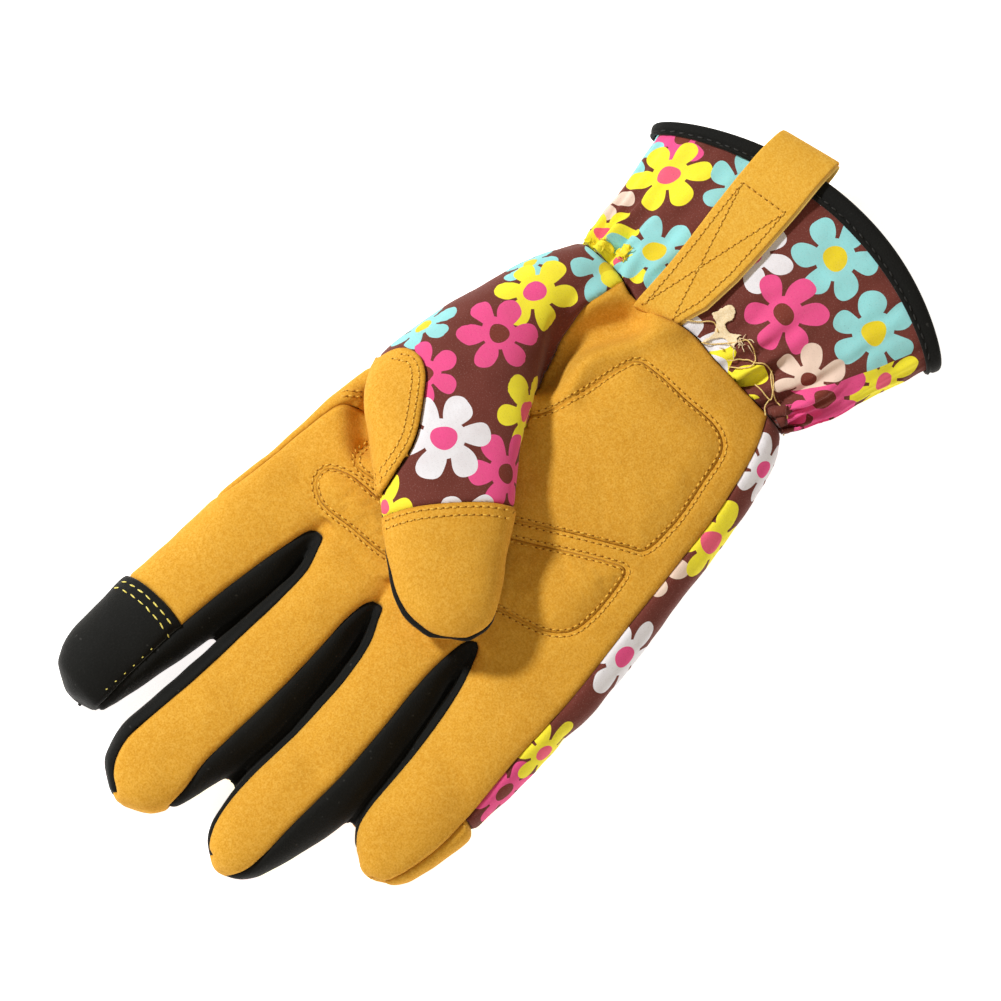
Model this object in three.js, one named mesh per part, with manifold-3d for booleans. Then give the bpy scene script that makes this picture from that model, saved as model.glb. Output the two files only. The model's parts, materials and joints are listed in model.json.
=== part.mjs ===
// A padded gardening glove for the right hand, lying on its back with the palm up and the thumb folded over
// it.
//
// Units are millimetres. +Z is up, the fingers point along +Y, the thumb is on the +X side, and the glove
// rests on z = 0. Hand, fingers, thumb and cuff are lofted as outer and inner forms. Their difference is the
// wall of the glove, and the wall is cut along the seams into the panels that the real glove is sewn from.
// Rows hold plan positions in the hand's own frame, and the finished group is moved so that the origin is
// under the middle of the whole glove.

import * as THREE from "three";
import { mergeVertices } from "three/addons/utils/BufferGeometryUtils.js";
import Module from "manifold-3d";

const wasm = await Module();
wasm.setup();

// Driving dimensions
const CLOTH = 1.4; // wall of suede, stretch cloth and printed cloth
const SEAM_GAP = 0.3; // between neighbouring panels
const PALM_TOP = 17.5; // highest point of the palm above the table
const WRIST_Y = -60; // line of the elastic, at x = 0
const WRIST_SLOPE = 0.07; // how much further up the hand the elastic lies on the thumb's side
const HEM = { y: -112, x: -11, bow: 0.0075, thumbBow: 0.0062 }; // a bow: y + bow (x - HEM.x)^2
const CUFF_LENGTH = 48; // from the elastic to the hem, on average
const SEAM_Z = 4.3; // the palm side's panels end at this height, and the back panel begins under it
const OVER_PALM_Z = 18.2; // between the palm and the folded thumb that lies over it
// The shirred wrist. Reach is a share of the cuff, and the folds grow to full depth between two heights.
const GATHER = { folds: 12, depth: 0.9, reach: 0.55, low: 2, full: 10 };
const BINDING = { width: 5.2, cloth: 0.9 };
const PAD = { height: 2.4, gap: 0.3, rim: 1.6 };
const LOOP = {
  x: 8.6, lean: 0.085, skew: 0.2, width: 15, cloth: 1.5, clear: 0.8,
  start: -60, over: [-60, -70, -80, -90, -98], hem: -104, fold: -114.3, bend: 3.8, inside: -97,
};
const THUMB_SEAM_Z = 27.6; // where the thumb lies over the palm, its back and tip end at this height
const THUMB_UNDER_Z = 23.6; // and the suede under it ends here, with the black gusset between
const BELLY = 0.36; // a section is widest at this share of its height
const SINK = 2.5; // how far an underside is pressed flat by the table
const SIDES = {
  outer: { hand: 28, finger: 16, thumb: 16, cuff: 48 },
  inner: { hand: 18, finger: 10, thumb: 10, cuff: 24 },
};
// How far the cuff's hollow runs down the arm, as a share of the cuff, and up into the hand
const WRIST_OVERLAP = { to: 0.3, before: 6 };
const PAST_ENDS = { before: 5, past: 5 }; // a hollow runs out past both ends of the cuff
const RING_CLEAR = 0.02; // least share of the cuff between two of its rings
const FAR = 200;

const COLOURS = { suede: 0xd99a30, black: 0x191919, print: 0x5e2c20 };
const suede = new THREE.MeshStandardMaterial({ color: COLOURS.suede, roughness: 0.95 });
const stretch = new THREE.MeshStandardMaterial({ color: COLOURS.black, roughness: 0.85 });
const print = new THREE.MeshStandardMaterial({ color: COLOURS.print, roughness: 0.8 });

// Rows are sections at one y: the sides of the body at the table, the height of its top, and how square it is
// (2 is an ellipse). Finger rows also say where the palm panel's seams run.
const row = (names, values) => Object.fromEntries(names.map((name, i) => [name, values[i]]));
const table = (names, rows) => rows.map((values) => row(names, values));

const HAND = table(["y", "left", "right", "top", "square"], [
  [-60, -33.6, 36.6, 14.0, 2.6],
  [-55, -37.4, 38.3, 15.6, 2.7],
  [-46, -41.0, 40.8, 16.9, 2.9],
  [-32, -45.4, 42.8, 17.5, 3.0],
  [-16, -48.8, 44.5, 17.5, 3.2],
  [0, -52.0, 45.6, 17.3, 3.4],
  [14, -54.0, 46.4, 17.0, 3.6],
  [24, -55.2, 46.6, 16.7, 3.8],
  [39, -55.8, 46.7, 16.0, 4.0],
]);
// Where the hand's loft ends under the roots of the fingers, by x
const FINGER_ROOTS = [[-60, 29], [-26, 29], [-12, 35], [0, 38.5], [48, 38.5]];

const FINGER_COLUMNS = ["y", "left", "right", "seamLeft", "seamRight", "top", "square"];
const FINGERS = {
  little: table(FINGER_COLUMNS, [
    [20, -54.8, -18.0, -50.2, -20.0, 16.2, 4.0],
    [32, -56.1, -23.4, -51.7, -25.2, 16.0, 3.2],
    [40, -56.7, -27.4, -52.5, -29.3, 15.6, 2.5],
    [50, -57.5, -30.3, -54.0, -32.3, 15.2, 2.3],
    [60, -58.0, -32.9, -55.5, -34.3, 14.6, 2.2],
    [70, -58.4, -35.0, -56.4, -35.8, 13.8, 2.2],
    [77, -57.8, -36.4, -55.9, -36.9, 12.8, 2.2],
    [82, -56.4, -38.4, -55.0, -38.6, 11.2, 2.2],
    [85.5, -53.4, -42.0, -53.4, -42.0, 9.0, 2.1],
    [87.6, -49.8, -45.6, -49.8, -45.6, 6.2, 2.0],
  ]),
  ring: table(FINGER_COLUMNS, [
    [22, -30.0, 6.0, -24.0, 4.0, 16.2, 4.0],
    [32, -25.8, 2.6, -22.8, 2.0, 16.0, 3.6],
    [42, -26.8, 0.3, -22.5, -2.6, 15.8, 3.0],
    [50, -29.0, -4.1, -23.5, -6.4, 15.6, 2.5],
    [60, -31.4, -6.9, -25.3, -9.2, 15.3, 2.3],
    [72, -34.0, -8.9, -27.1, -10.8, 15.0, 2.2],
    [84, -35.3, -10.1, -28.1, -11.6, 14.4, 2.2],
    [96, -34.2, -11.1, -28.9, -12.3, 13.4, 2.2],
    [104, -32.5, -12.8, -29.6, -13.7, 12.2, 2.2],
    [109, -30.8, -14.9, -29.4, -15.6, 10.8, 2.2],
    [112.2, -28.0, -18.0, -28.0, -18.0, 8.8, 2.1],
    [113.8, -25.2, -21.0, -25.2, -21.0, 6.2, 2.0],
  ]),
  middle: table(FINGER_COLUMNS, [
    [30, -6.0, 26.0, -4.0, 24.0, 16.2, 4.0],
    [42, -1.5, 22.8, -0.6, 20.4, 16.0, 3.2],
    [50, -2.8, 19.6, 0.8, 17.2, 15.8, 2.6],
    [60, -5.5, 18.8, -0.3, 16.1, 15.6, 2.3],
    [72, -7.5, 19.4, -1.6, 15.5, 15.3, 2.2],
    [84, -8.8, 19.4, -2.1, 14.9, 15.0, 2.2],
    [92, -8.6, 19.1, -2.6, 14.8, 14.6, 2.2],
    [100, -7.3, 18.9, -3.0, 14.9, 13.9, 2.2],
    [108, -6.0, 18.8, -4.6, 15.2, 12.8, 2.2],
    [114, -4.6, 17.4, -4.6, 13.8, 11.4, 2.2],
    [118.5, -1.6, 14.7, -3.0, 10.8, 9.4, 2.1],
    [121.3, 3.4, 9.6, 3.4, 6.4, 6.4, 2.0],
  ]),
  index: table(FINGER_COLUMNS, [
    [30, 18.0, 46.7, 20.0, 52.0, 16.2, 4.0],
    [42, 21.4, 46.8, 22.8, 52.0, 16.0, 3.2],
    [50, 20.8, 46.8, 24.6, 52.0, 15.8, 2.7],
    [60, 20.1, 46.5, 25.6, 52.0, 15.6, 2.4],
    [72, 20.2, 46.3, 26.2, 52.0, 15.3, 2.3],
    [84, 20.8, 46.2, 26.3, 52.0, 14.9, 2.3],
    [94, 22.5, 45.7, 26.0, 52.0, 14.0, 2.3],
    [102, 23.7, 45.1, 25.7, 52.0, 12.8, 2.2],
    [108, 24.5, 43.1, 25.4, 52.0, 11.2, 2.2],
    [111.4, 26.0, 40.3, 26.0, 52.0, 9.2, 2.1],
    [113.2, 30.4, 36.4, 30.4, 36.4, 6.4, 2.0],
  ]),
};
const ORDER = ["little", "ring", "middle", "index"];
// Lowest points of the black walls between the fingers
const CROTCHES = [[-24.6, 31.0], [-1.5, 42.0], [21.8, 41.2]];
const BELOW_ROOTS = 27; // the outer sides of the little and index fingers have no crotch and begin here

// Thumb rows run from the wrist to the tip. Each section stands between a left and a right edge in plan.
const THUMB = table(["xLeft", "yLeft", "xRight", "yRight", "bottom", "top", "square"], [
  [22.0, -57.5, 35.5, -57.0, 2.0, 13.0, 2.2],
  [21.3, -46.0, 41.0, -45.0, 2.0, 17.5, 2.2],
  [19.5, -36.0, 43.6, -29.0, 3.0, 21.5, 2.3],
  [16.0, -27.5, 45.2, -13.0, 4.0, 26.0, 2.4],
  [12.0, -20.5, 45.0, 2.0, 8.5, 30.3, 2.4],
  [7.5, -13.5, 38.5, 13.4, 16.0, 32.8, 2.4],
  [2.0, -6.5, 30.0, 18.2, 20.2, 34.0, 2.4],
  [-3.5, -0.4, 21.0, 23.2, 20.6, 34.4, 2.3],
  [-8.8, 5.2, 11.8, 29.6, 20.7, 34.8, 2.3],
  [-15.2, 12.5, 4.4, 34.8, 20.7, 34.6, 2.3],
  [-21.3, 19.7, -3.4, 39.6, 20.8, 33.6, 2.3],
  [-25.0, 26.6, -10.6, 41.7, 21.4, 31.8, 2.2],
  [-24.4, 33.0, -17.2, 40.4, 23.4, 29.4, 2.0],
]);

// Cuff rows run from the elastic (at 0) to the hem (at 1).
const CUFF_SQUARE = 2.4;
const CUFF = table(["at", "left", "right", "top"], [
  [0, -33.2, 36.2, 12.4],
  [0.1, -35.8, 37.2, 13.6],
  [0.25, -38.8, 38.5, 15.4],
  [0.45, -41.0, 40.2, 17.2],
  [0.7, -43.6, 42.3, 19.0],
  [0.88, -45.4, 44.0, 20.2],
  [1, -46.6, 45.6, 21.0],
]);

// The palm panel's seam from the wrist up the little finger's side
const PALM_SIDE_SEAM = [[-29, -61.5], [-33.2, -54.3], [-38.8, -38.1], [-42.9, -18], [-46, -1], [-49.5, 17]];
const BEYOND = 52; // outside the index finger's side
const BELOW_WRIST = [[BEYOND, -40], [BEYOND, -70], [-20, -70]]; // closes the palm's outline down the arm
const TIP_REACH = 6; // how far outlines run past the fingertips
const THUMB_MARGIN = { zone: 3, overhang: 6, root: 1 }; // how far cuts run past the thumb's sides
const CROTCH = { half: 1, rise: 0.5, clear: 3 }; // narrow bottom of the black wall between two fingers
const INDEX_CAP = [[15, 82.2], [60, 83.4], [60, 130], [15, 130]];
const LITTLE_CAP = [[-70, 60.5], [-30, 60.5], [-30, 95], [-70, 95]];
const THUMB_ROOT = { foot: [20.4, -64], palm: [[22, 0], [34, 4]], top: 1.6, rows: [1, 6] };
// Closed outlines in plan, in the order that a finger would trace them
const HEEL_PAD = [
  [-34.7, -14.6], [-11.1, 1.9], [14, 19.5], [26.5, 23.6], [30, 19.3], [27, 9], [19, -5], [8.6, -17.3],
  [5.4, -27.2], [3.6, -42.2], [1, -46.8], [-12.6, -48.2], [-24.5, -49.4], [-28.6, -46.6], [-31.8, -36.6],
  [-34.9, -23.6],
];
const KNUCKLE_PAD = [
  [-37.7, -1.7], [-38.8, 6.2], [-38.2, 11.6], [-34.4, 16.2], [-22, 21.5], [-7.4, 28.4], [6.4, 33.6],
  [16.3, 35.2], [27.3, 36.6], [32, 34], [32.8, 30.2], [28.4, 27], [12, 23.6], [-13, 6], [-31, -6.6],
  [-35.2, -8.7],
];
const SADDLE_ON_THUMB = [
  [16.7, 26.4], [17.6, 19], [19.9, 11.7], [26, 3.7], [32.1, -2.3], [36.6, -3.9], [41, -2.2], [43.6, 4],
  [44.4, 10], [38.4, 14.8], [30, 19.4], [21, 25],
];
const SADDLE_ON_SIDE = [
  [32, 8], [43.6, 3], [52, 1.6], [52, 55], [46.4, 55], [43.9, 43.2], [44.8, 26.3], [42, 18], [32, 18],
];
const CAP_SEAM = [[-7, 4.2], [11.5, 29.3]]; // across the top of the thumb
const CAP_ZONE = { sides: [-30, 60], ahead: 60, below: 1 }; // large enough to hold all of the thumb's tip

const clamp01 = (t) => Math.min(1, Math.max(0, t));
const mix = (a, b, t) => a + (b - a) * t;

function alongTable(pairs, x) {
  const found = pairs.findIndex(([px], k) => k > 0 && x <= px);
  const k = found < 0 ? pairs.length - 1 : found;
  const [[x0, y0], [x1, y1]] = [pairs[k - 1], pairs[k]];
  return mix(y0, y1, clamp01((x - x0) / (x1 - x0)));
}

const wristY = (x) => WRIST_Y + WRIST_SLOPE * x;
const hemY = (x) => HEM.y + (x < HEM.x ? HEM.bow : HEM.thumbBow) * (x - HEM.x) ** 2;
const rootY = (x) => alongTable(FINGER_ROOTS, x);
const cuffValue = (key, at) => alongTable(CUFF.map((r) => [r.at, r[key]]), at);

// A section's outline: a squarish oval, pressed flat where it would pass through its bottom
function oval(sides, { half, bottom, top, square, sink = SINK }) {
  const power = 2 / square;
  const belly = mix(bottom, top, BELLY);
  return Array.from({ length: sides }, (_, i) => {
    const angle = ((i + 0.5) / sides) * 2 * Math.PI;
    const [c, s] = [Math.cos(angle), Math.sin(angle)];
    const across = half * Math.sign(c) * Math.abs(c) ** power;
    const rise = Math.abs(s) ** power;
    if (s > 0) return [across, belly + (top - belly) * rise];
    return [across, Math.max(bottom, belly - (belly - bottom + sink) * rise)];
  });
}

function meshToSolid(positions, triangles) {
  const build = (triVerts) => {
    return new wasm.Manifold(new wasm.Mesh({ numProp: 3, vertProperties: positions, triVerts }));
  };
  const made = build(new Uint32Array(triangles));
  if (made.volume() > 0) return made;
  const turned = [];
  for (let i = 0; i < triangles.length; i += 3) turned.push(triangles[i], triangles[i + 2], triangles[i + 1]);
  return build(new Uint32Array(turned));
}

// Points nearer to each other than nearness become one point.
function solid(geometry, nearness = 1e-4) {
  const bare = geometry.index ? geometry.toNonIndexed() : geometry.clone();
  bare.deleteAttribute("normal");
  bare.deleteAttribute("uv");
  const merged = mergeVertices(bare, nearness);
  return meshToSolid(merged.attributes.position.array, merged.index.array);
}

// Rings of equal length, joined into one closed body with a fan at each end
function loft(rings) {
  const n = rings[0].length;
  const positions = rings.flat(2);
  const index = [];
  for (let r = 0; r + 1 < rings.length; r++) {
    for (let i = 0; i < n; i++) {
      const [a, b] = [r * n + i, r * n + ((i + 1) % n)];
      index.push(a, a + n, b, b, a + n, b + n);
    }
  }
  [0, rings.length - 1].forEach((r, end) => {
    const centre = positions.length / 3;
    positions.push(...[0, 1, 2].map((k) => rings[r].reduce((sum, p) => sum + p[k], 0) / n));
    for (let i = 0; i < n; i++) {
      const pair = [r * n + i, r * n + ((i + 1) % n)];
      index.push(centre, ...(end ? pair.reverse() : pair));
    }
  });
  return meshToSolid(new Float32Array(positions), index);
}

// An upright prism over an outline in plan
function prism(points, zLow, zHigh = FAR) {
  const shape = new THREE.Shape(points.map(([x, y]) => new THREE.Vector2(x, y)));
  const geometry = new THREE.ExtrudeGeometry(shape, { depth: zHigh - zLow, bevelEnabled: false });
  geometry.translate(0, 0, zLow);
  return solid(geometry);
}

// An outline moved outwards by a distance, or inwards by a negative one, corner by corner
function offset(points, distance) {
  const turn = Math.sign(THREE.ShapeUtils.area(points.map(([x, y]) => new THREE.Vector2(x, y))));
  return points.map((p, i) => {
    const [a, b] = [points[(i + points.length - 1) % points.length], points[(i + 1) % points.length]];
    const before = new THREE.Vector2(p[1] - a[1], a[0] - p[0]).normalize();
    const after = new THREE.Vector2(b[1] - p[1], p[0] - b[0]).normalize();
    const out = before.clone().add(after).normalize();
    const reach = (turn * distance) / Math.max(0.5, out.dot(before));
    return [p[0] + out.x * reach, p[1] + out.y * reach];
  });
}

const unite = (solids) => solids.reduce((all, one) => all.add(one));
const largest = (made) => made.decompose().sort((a, b) => b.volume() - a.volume())[0];

// Forms of the glove's members. A wall's inner form is the outer one drawn in by the cloth: its grow is
// negative.
function handForm(grow, sides) {
  const last = HAND.length - 1;
  const fullSlope = 30; // the wrist's slope fades out from here to nothing at this far above and below
  const ringY = (r, k, x) => {
    if (k === 0) return wristY(x);
    if (k === last) return rootY(x);
    return r.y + WRIST_SLOPE * x * clamp01((-fullSlope - r.y) / fullSlope);
  };
  return loft(HAND.map((r, k) => {
    const size = { half: (r.right - r.left) / 2 + grow, bottom: -grow, top: r.top + grow, square: r.square };
    return oval(sides, size).map(([across, z]) => {
      const x = (r.left + r.right) / 2 + across;
      return [x, ringY(r, k, x), z];
    });
  }));
}

function fingerForm(name, grow, sides) {
  const rows = FINGERS[name];
  const last = rows.length - 1;
  // Rows moved by grow, height of the very tip, least half width
  const tip = { rows: 3, rise: 1.6, half: 0.6 };
  return loft(rows.map((r, k) => {
    const half = Math.max(tip.half, (r.right - r.left) / 2 + grow);
    const bottom = k === last ? tip.rise - grow : -grow;
    const y = k > last - tip.rows ? r.y + grow : r.y;
    return oval(sides, { half, bottom, top: r.top + grow, square: r.square })
      .map(([across, z]) => [(r.left + r.right) / 2 + across, y, z]);
  }));
}

function thumbForm(grow, sides) {
  const last = THUMB.length - 1;
  return loft(THUMB.map((r, k) => {
    const across = new THREE.Vector2(r.xRight - r.xLeft, r.yRight - r.yLeft);
    const half = across.length() / 2;
    across.normalize();
    const ahead = k > last - 2 ? grow : 0;
    const size = { half: half + grow, bottom: r.bottom - grow, top: r.top + grow, square: r.square, sink: 0 };
    return oval(sides, size).map(([s, z]) => [
      (r.xLeft + r.xRight) / 2 + s * across.x - ahead * across.y,
      (r.yLeft + r.yRight) / 2 + s * across.y + ahead * across.x,
      z,
    ]);
  }));
}

// One ring of the cuff. The hem is raised by the binding under it, gathers ripple the cloth near the elastic,
// and shift moves the ring down the arm.
function cuffRing(at, grow, sides, ripple, shift) {
  const [left, right, top] = ["left", "right", "top"].map((key) => cuffValue(key, at));
  const fade = clamp01(1 - at / GATHER.reach);
  const [from, full] = [CUFF.at(-3).at, CUFF.at(-2).at];
  const raised = (BINDING.cloth + SEAM_GAP) * clamp01((at - from) / (full - from));
  const half = (right - left) / 2 + grow;
  const size = { half, bottom: raised - grow, top: top + grow, square: CUFF_SQUARE };
  return oval(sides, size).map(([across, z], i) => {
    const wave = ripple * GATHER.depth * fade * Math.cos((i / sides) * 2 * Math.PI * GATHER.folds);
    const x = (left + right) / 2 + across * (1 + wave / size.half);
    const y = mix(wristY(x) - SEAM_GAP, hemY(x), at) - shift;
    return [x, y, z + wave * clamp01((z - GATHER.low) / (GATHER.full - GATHER.low))];
  });
}

function cuffForm(grow, sides, { from = 0, to = 1, ripple = 0, before = 0, past = 0 } = {}) {
  const between = CUFF.map((r) => r.at).filter((at) => at > from + RING_CLEAR && at < to - RING_CLEAR);
  const rings = between.map((at) => cuffRing(at, grow, sides, ripple, 0));
  const ends = [cuffRing(from, grow, sides, ripple, -before), cuffRing(to, grow, sides, ripple, past)];
  return loft([ends[0], ...rings, ends[1]]);
}

const fingerForms = (grow, sides) => ORDER.map((name) => fingerForm(name, grow, sides));
const outer = unite([
  handForm(0, SIDES.outer.hand), thumbForm(0, SIDES.outer.thumb), ...fingerForms(0, SIDES.outer.finger),
]);
const hollow = unite([
  handForm(-CLOTH, SIDES.inner.hand), thumbForm(-CLOTH, SIDES.inner.thumb),
  ...fingerForms(-CLOTH, SIDES.inner.finger), cuffForm(-CLOTH, SIDES.inner.hand, WRIST_OVERLAP),
]);
const wall = outer.subtract(hollow);

// Outlines in plan that the wall is cut along
function suedeOutline() {
  const points = [...PALM_SIDE_SEAM];
  ORDER.forEach((name, k) => {
    const rows = FINGERS[name];
    const tip = rows.at(-1);
    const past = (crotch) => rows.filter((r) => r.y > (crotch ? crotch[1] : BELOW_ROOTS) + CROTCH.clear);
    points.push(...past(CROTCHES[k - 1]).map((r) => [r.seamLeft, r.y]));
    points.push([tip.seamLeft, tip.y + TIP_REACH], [tip.seamRight, tip.y + TIP_REACH]);
    points.push(...past(CROTCHES[k]).map((r) => [r.seamRight, r.y]).reverse());
    if (CROTCHES[k]) points.push(...crotchPoints(k));
  });
  points.push(...BELOW_WRIST);
  return points;
}

function crotchPoints(k) {
  const [x, y] = CROTCHES[k];
  return [[x - CROTCH.half, y + CROTCH.rise], [x + CROTCH.half, y + CROTCH.rise]];
}

function slitOutline(k) {
  const [a, b] = [FINGERS[ORDER[k]], FINGERS[ORDER[k + 1]]];
  const [tipA, tipB] = [a.at(-1), b.at(-1)];
  const past = Math.max(tipA.y, tipB.y) + TIP_REACH;
  const clear = (rows) => rows.filter((r) => r.y > CROTCHES[k][1] + CROTCH.clear);
  const [left, right] = crotchPoints(k);
  return offset([
    left, ...clear(a).map((r) => [r.seamRight, r.y]), [tipA.seamRight, tipA.y + TIP_REACH],
    [(tipA.seamRight + tipB.seamLeft) / 2, past],
    [tipB.seamLeft, tipB.y + TIP_REACH], ...clear(b).map((r) => [r.seamLeft, r.y]).reverse(), right,
  ], -SEAM_GAP);
}

const thumbOutline = [
  ...THUMB.map((r) => [r.xLeft, r.yLeft]),
  ...THUMB.map((r) => [r.xRight, r.yRight]).reverse(),
];
const rootOutline = [
  THUMB_ROOT.foot, ...THUMB.slice(...THUMB_ROOT.rows).map((r) => [r.xLeft, r.yLeft]), ...THUMB_ROOT.palm,
  [BEYOND, THUMB_ROOT.top], [BEYOND, THUMB_ROOT.foot[1]],
];

// Zones of the panels. A neighbour is cut back from a zone by the gap.
const overPalm = prism(offset(thumbOutline, THUMB_MARGIN.zone), OVER_PALM_Z);
const thumbZone = (gap) => overPalm.translate([0, 0, -gap])
  .add(prism(offset(rootOutline, gap), SEAM_Z - gap));
const saddleZone = (gap) => prism(offset(SADDLE_ON_THUMB, gap), OVER_PALM_Z - gap)
  .add(prism(offset(SADDLE_ON_SIDE, gap), SEAM_Z - gap));
// The part of the thumb that lies clear over the palm, between two heights
const overhang = (zLow, zHigh) => prism(offset(thumbOutline, THUMB_MARGIN.overhang), zLow, zHigh)
  .subtract(prism(offset(rootOutline, THUMB_MARGIN.root), 0));

function thumbTipZone(gap) {
  const [[x0, y0], [x1, y1]] = CAP_SEAM;
  const along = new THREE.Vector2(x1 - x0, y1 - y0).normalize();
  const at = (s, out) => [x0 + along.x * s - along.y * out, y0 + along.y * s + along.x * out];
  const { sides: [left, right], ahead, below } = CAP_ZONE;
  const corners = [at(left, -gap), at(right, -gap), at(right, ahead), at(left, ahead)];
  return prism(corners, OVER_PALM_Z - below);
}

const pieces = {};
const thumbWall = wall.intersect(thumbZone(0)).subtract(saddleZone(SEAM_GAP));
pieces.saddle_patch = wall.intersect(saddleZone(0));
pieces.thumb_tip_cap = thumbWall.intersect(thumbTipZone(0)).subtract(overhang(0, THUMB_SEAM_Z));
pieces.thumb_back = thumbWall.subtract(thumbTipZone(SEAM_GAP)).subtract(overhang(0, THUMB_SEAM_Z));
pieces.thumb_gusset = thumbWall.intersect(overhang(THUMB_UNDER_Z, THUMB_SEAM_Z - SEAM_GAP));
pieces.thumb_underside = thumbWall.intersect(overhang(0, THUMB_UNDER_Z - SEAM_GAP));

const suedeWall = wall.intersect(prism(suedeOutline(), SEAM_Z))
  .subtract(thumbZone(SEAM_GAP))
  .subtract(saddleZone(SEAM_GAP));
pieces.palm_panel = suedeWall.subtract(prism(offset(INDEX_CAP, SEAM_GAP), 0));
pieces.index_tip_cap = suedeWall.intersect(prism(INDEX_CAP, 0));

const SLITS = ["fourchette_little_ring", "fourchette_ring_middle", "fourchette_middle_index"];
SLITS.forEach((name, k) => { pieces[name] = wall.intersect(prism(slitOutline(k), SEAM_Z)); });

// The back panel is what is left: all that lies on the table, and the little finger's side up to its seam.
const frontZone = unite([suedeOutline(), ...SLITS.map((_, k) => slitOutline(k))]
  .map((outline) => prism(offset(outline, SEAM_GAP), SEAM_Z - SEAM_GAP)));
const backWall = wall.subtract(frontZone).subtract(thumbZone(SEAM_GAP)).subtract(saddleZone(SEAM_GAP));
pieces.back_panel = backWall.subtract(prism(offset(LITTLE_CAP, SEAM_GAP), -FAR));
pieces.little_tip_cap = backWall.intersect(prism(LITTLE_CAP, -FAR));

// A pad is a low cushion that follows the palm: its outline with a chamfered rim, between two growths of the
// hand.
function padForm(outline) {
  const shape = new THREE.Shape(outline.map(([x, y]) => new THREE.Vector2(x, y)));
  const rim = { bevelThickness: PAD.rim, bevelSize: PAD.rim, bevelOffset: -PAD.rim, bevelSegments: 1 };
  const pillar = new THREE.ExtrudeGeometry(shape, { depth: PALM_TOP - PAD.rim, ...rim });
  pillar.translate(0, 0, PAD.height);
  return solid(pillar)
    .intersect(handForm(PAD.height, SIDES.outer.hand))
    .subtract(handForm(PAD.gap, SIDES.outer.hand))
    .subtract(unite([thumbForm(SEAM_GAP, SIDES.outer.thumb), ...fingerForms(SEAM_GAP, SIDES.outer.finger)]))
    .subtract(prism(offset(rootOutline, SEAM_GAP), 0));
}
pieces.heel_pad = padForm(HEEL_PAD);
pieces.knuckle_pad = padForm(KNUCKLE_PAD);

const cuffEnd = 1 - (BINDING.cloth + 3 * SEAM_GAP) / CUFF_LENGTH;
pieces.cuff = cuffForm(0, SIDES.outer.cuff, { ripple: 1, to: cuffEnd })
  .subtract(cuffForm(-CLOTH, SIDES.inner.cuff, PAST_ENDS));

// The binding is a U round the hem: a band thicker than the cuff, less a slot that the cuff's edge stands in.
function hemBinding() {
  const slotFrom = CUFF.at(-3).at;
  const inside = { from: slotFrom, past: PAST_ENDS.past };
  const thick = BINDING.cloth + SEAM_GAP;
  const band = cuffForm(thick, SIDES.outer.cuff, { from: 1 - BINDING.width / CUFF_LENGTH })
    .subtract(cuffForm(-CLOTH - thick, SIDES.inner.cuff, inside));
  const slot = cuffForm(SEAM_GAP, SIDES.outer.cuff, { from: slotFrom, to: 1 - BINDING.cloth / CUFF_LENGTH })
    .subtract(cuffForm(-CLOTH - SEAM_GAP, SIDES.inner.cuff, inside));
  return band.subtract(slot);
}
pieces.hem_binding = hemBinding();

// The pull loop is a strap that leans a little across the cuff. It lies on the cuff, passes the hem, turns
// back in a round fold and ends inside the mouth.
const loopX = (y) => LOOP.x + (LOOP.start - y) * LOOP.lean;

function cuffTopUnderLoop(y) {
  const x = loopX(y);
  const at = clamp01((wristY(x) - y) / (wristY(x) - hemY(x)));
  const [left, right, top] = ["left", "right", "top"].map((key) => cuffValue(key, at));
  const across = Math.abs((x - (left + right) / 2) / ((right - left) / 2));
  const belly = BELLY * top;
  return belly + (top - belly) * (1 - across ** CUFF_SQUARE) ** (1 / CUFF_SQUARE);
}

function loopProfile() {
  const hem = { y: -106, rise: 0.5 };
  const lift = LOOP.cloth / 2 + LOOP.clear;
  const over = LOOP.over.map((y) => [y, cuffTopUnderLoop(y) + lift]);
  over[0][1] += GATHER.depth;
  const overHem = cuffTopUnderLoop(hem.y) + BINDING.cloth + SEAM_GAP + lift + hem.rise;
  const insideZ = cuffTopUnderLoop(LOOP.inside) - CLOTH - BINDING.cloth - SEAM_GAP - lift - hem.rise;
  const centre = [LOOP.fold + LOOP.bend, overHem - LOOP.bend];
  const fold = [0, 30, 60, 90, 120, 150, 180].map((turn) => {
    const angle = THREE.MathUtils.degToRad(turn);
    return [centre[0] - LOOP.bend * Math.sin(angle), centre[1] + LOOP.bend * Math.cos(angle)];
  });
  return [...over, [LOOP.hem, overHem], ...fold, [LOOP.hem, insideZ], [LOOP.inside, insideZ]];
}

function loopForm() {
  const line = loopProfile();
  return loft(line.map(([y, z], i) => {
    const [a, b] = [line[Math.max(0, i - 1)], line[Math.min(line.length - 1, i + 1)]];
    const along = new THREE.Vector2(b[0] - a[0], b[1] - a[1]).setLength(LOOP.cloth / 2);
    const skew = LOOP.skew * clamp01((LOOP.start - y) / CUFF_LENGTH);
    return [[-1, 1], [1, 1], [1, -1], [-1, -1]].map(([side, face]) => {
      const across = (side * LOOP.width) / 2;
      return [loopX(y) + across, y + across * skew + face * along.y, z - face * along.x];
    });
  }));
}
pieces.pull_loop = loopForm();

const SUEDE = ["palm_panel", "heel_pad", "knuckle_pad", "saddle_patch", "thumb_tip_cap", "thumb_underside",
  "little_tip_cap", "pull_loop"];
const PRINT = ["thumb_back", "back_panel", "cuff"];

function materialOf(name) {
  if (SUEDE.includes(name)) return suede;
  return PRINT.includes(name) ? print : stretch;
}

function geometryOf(made) {
  const { vertProperties, triVerts } = made.getMesh();
  const geometry = new THREE.BufferGeometry();
  geometry.setAttribute("position", new THREE.BufferAttribute(vertProperties, 3));
  geometry.setIndex(new THREE.BufferAttribute(triVerts, 1));
  return geometry;
}

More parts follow.
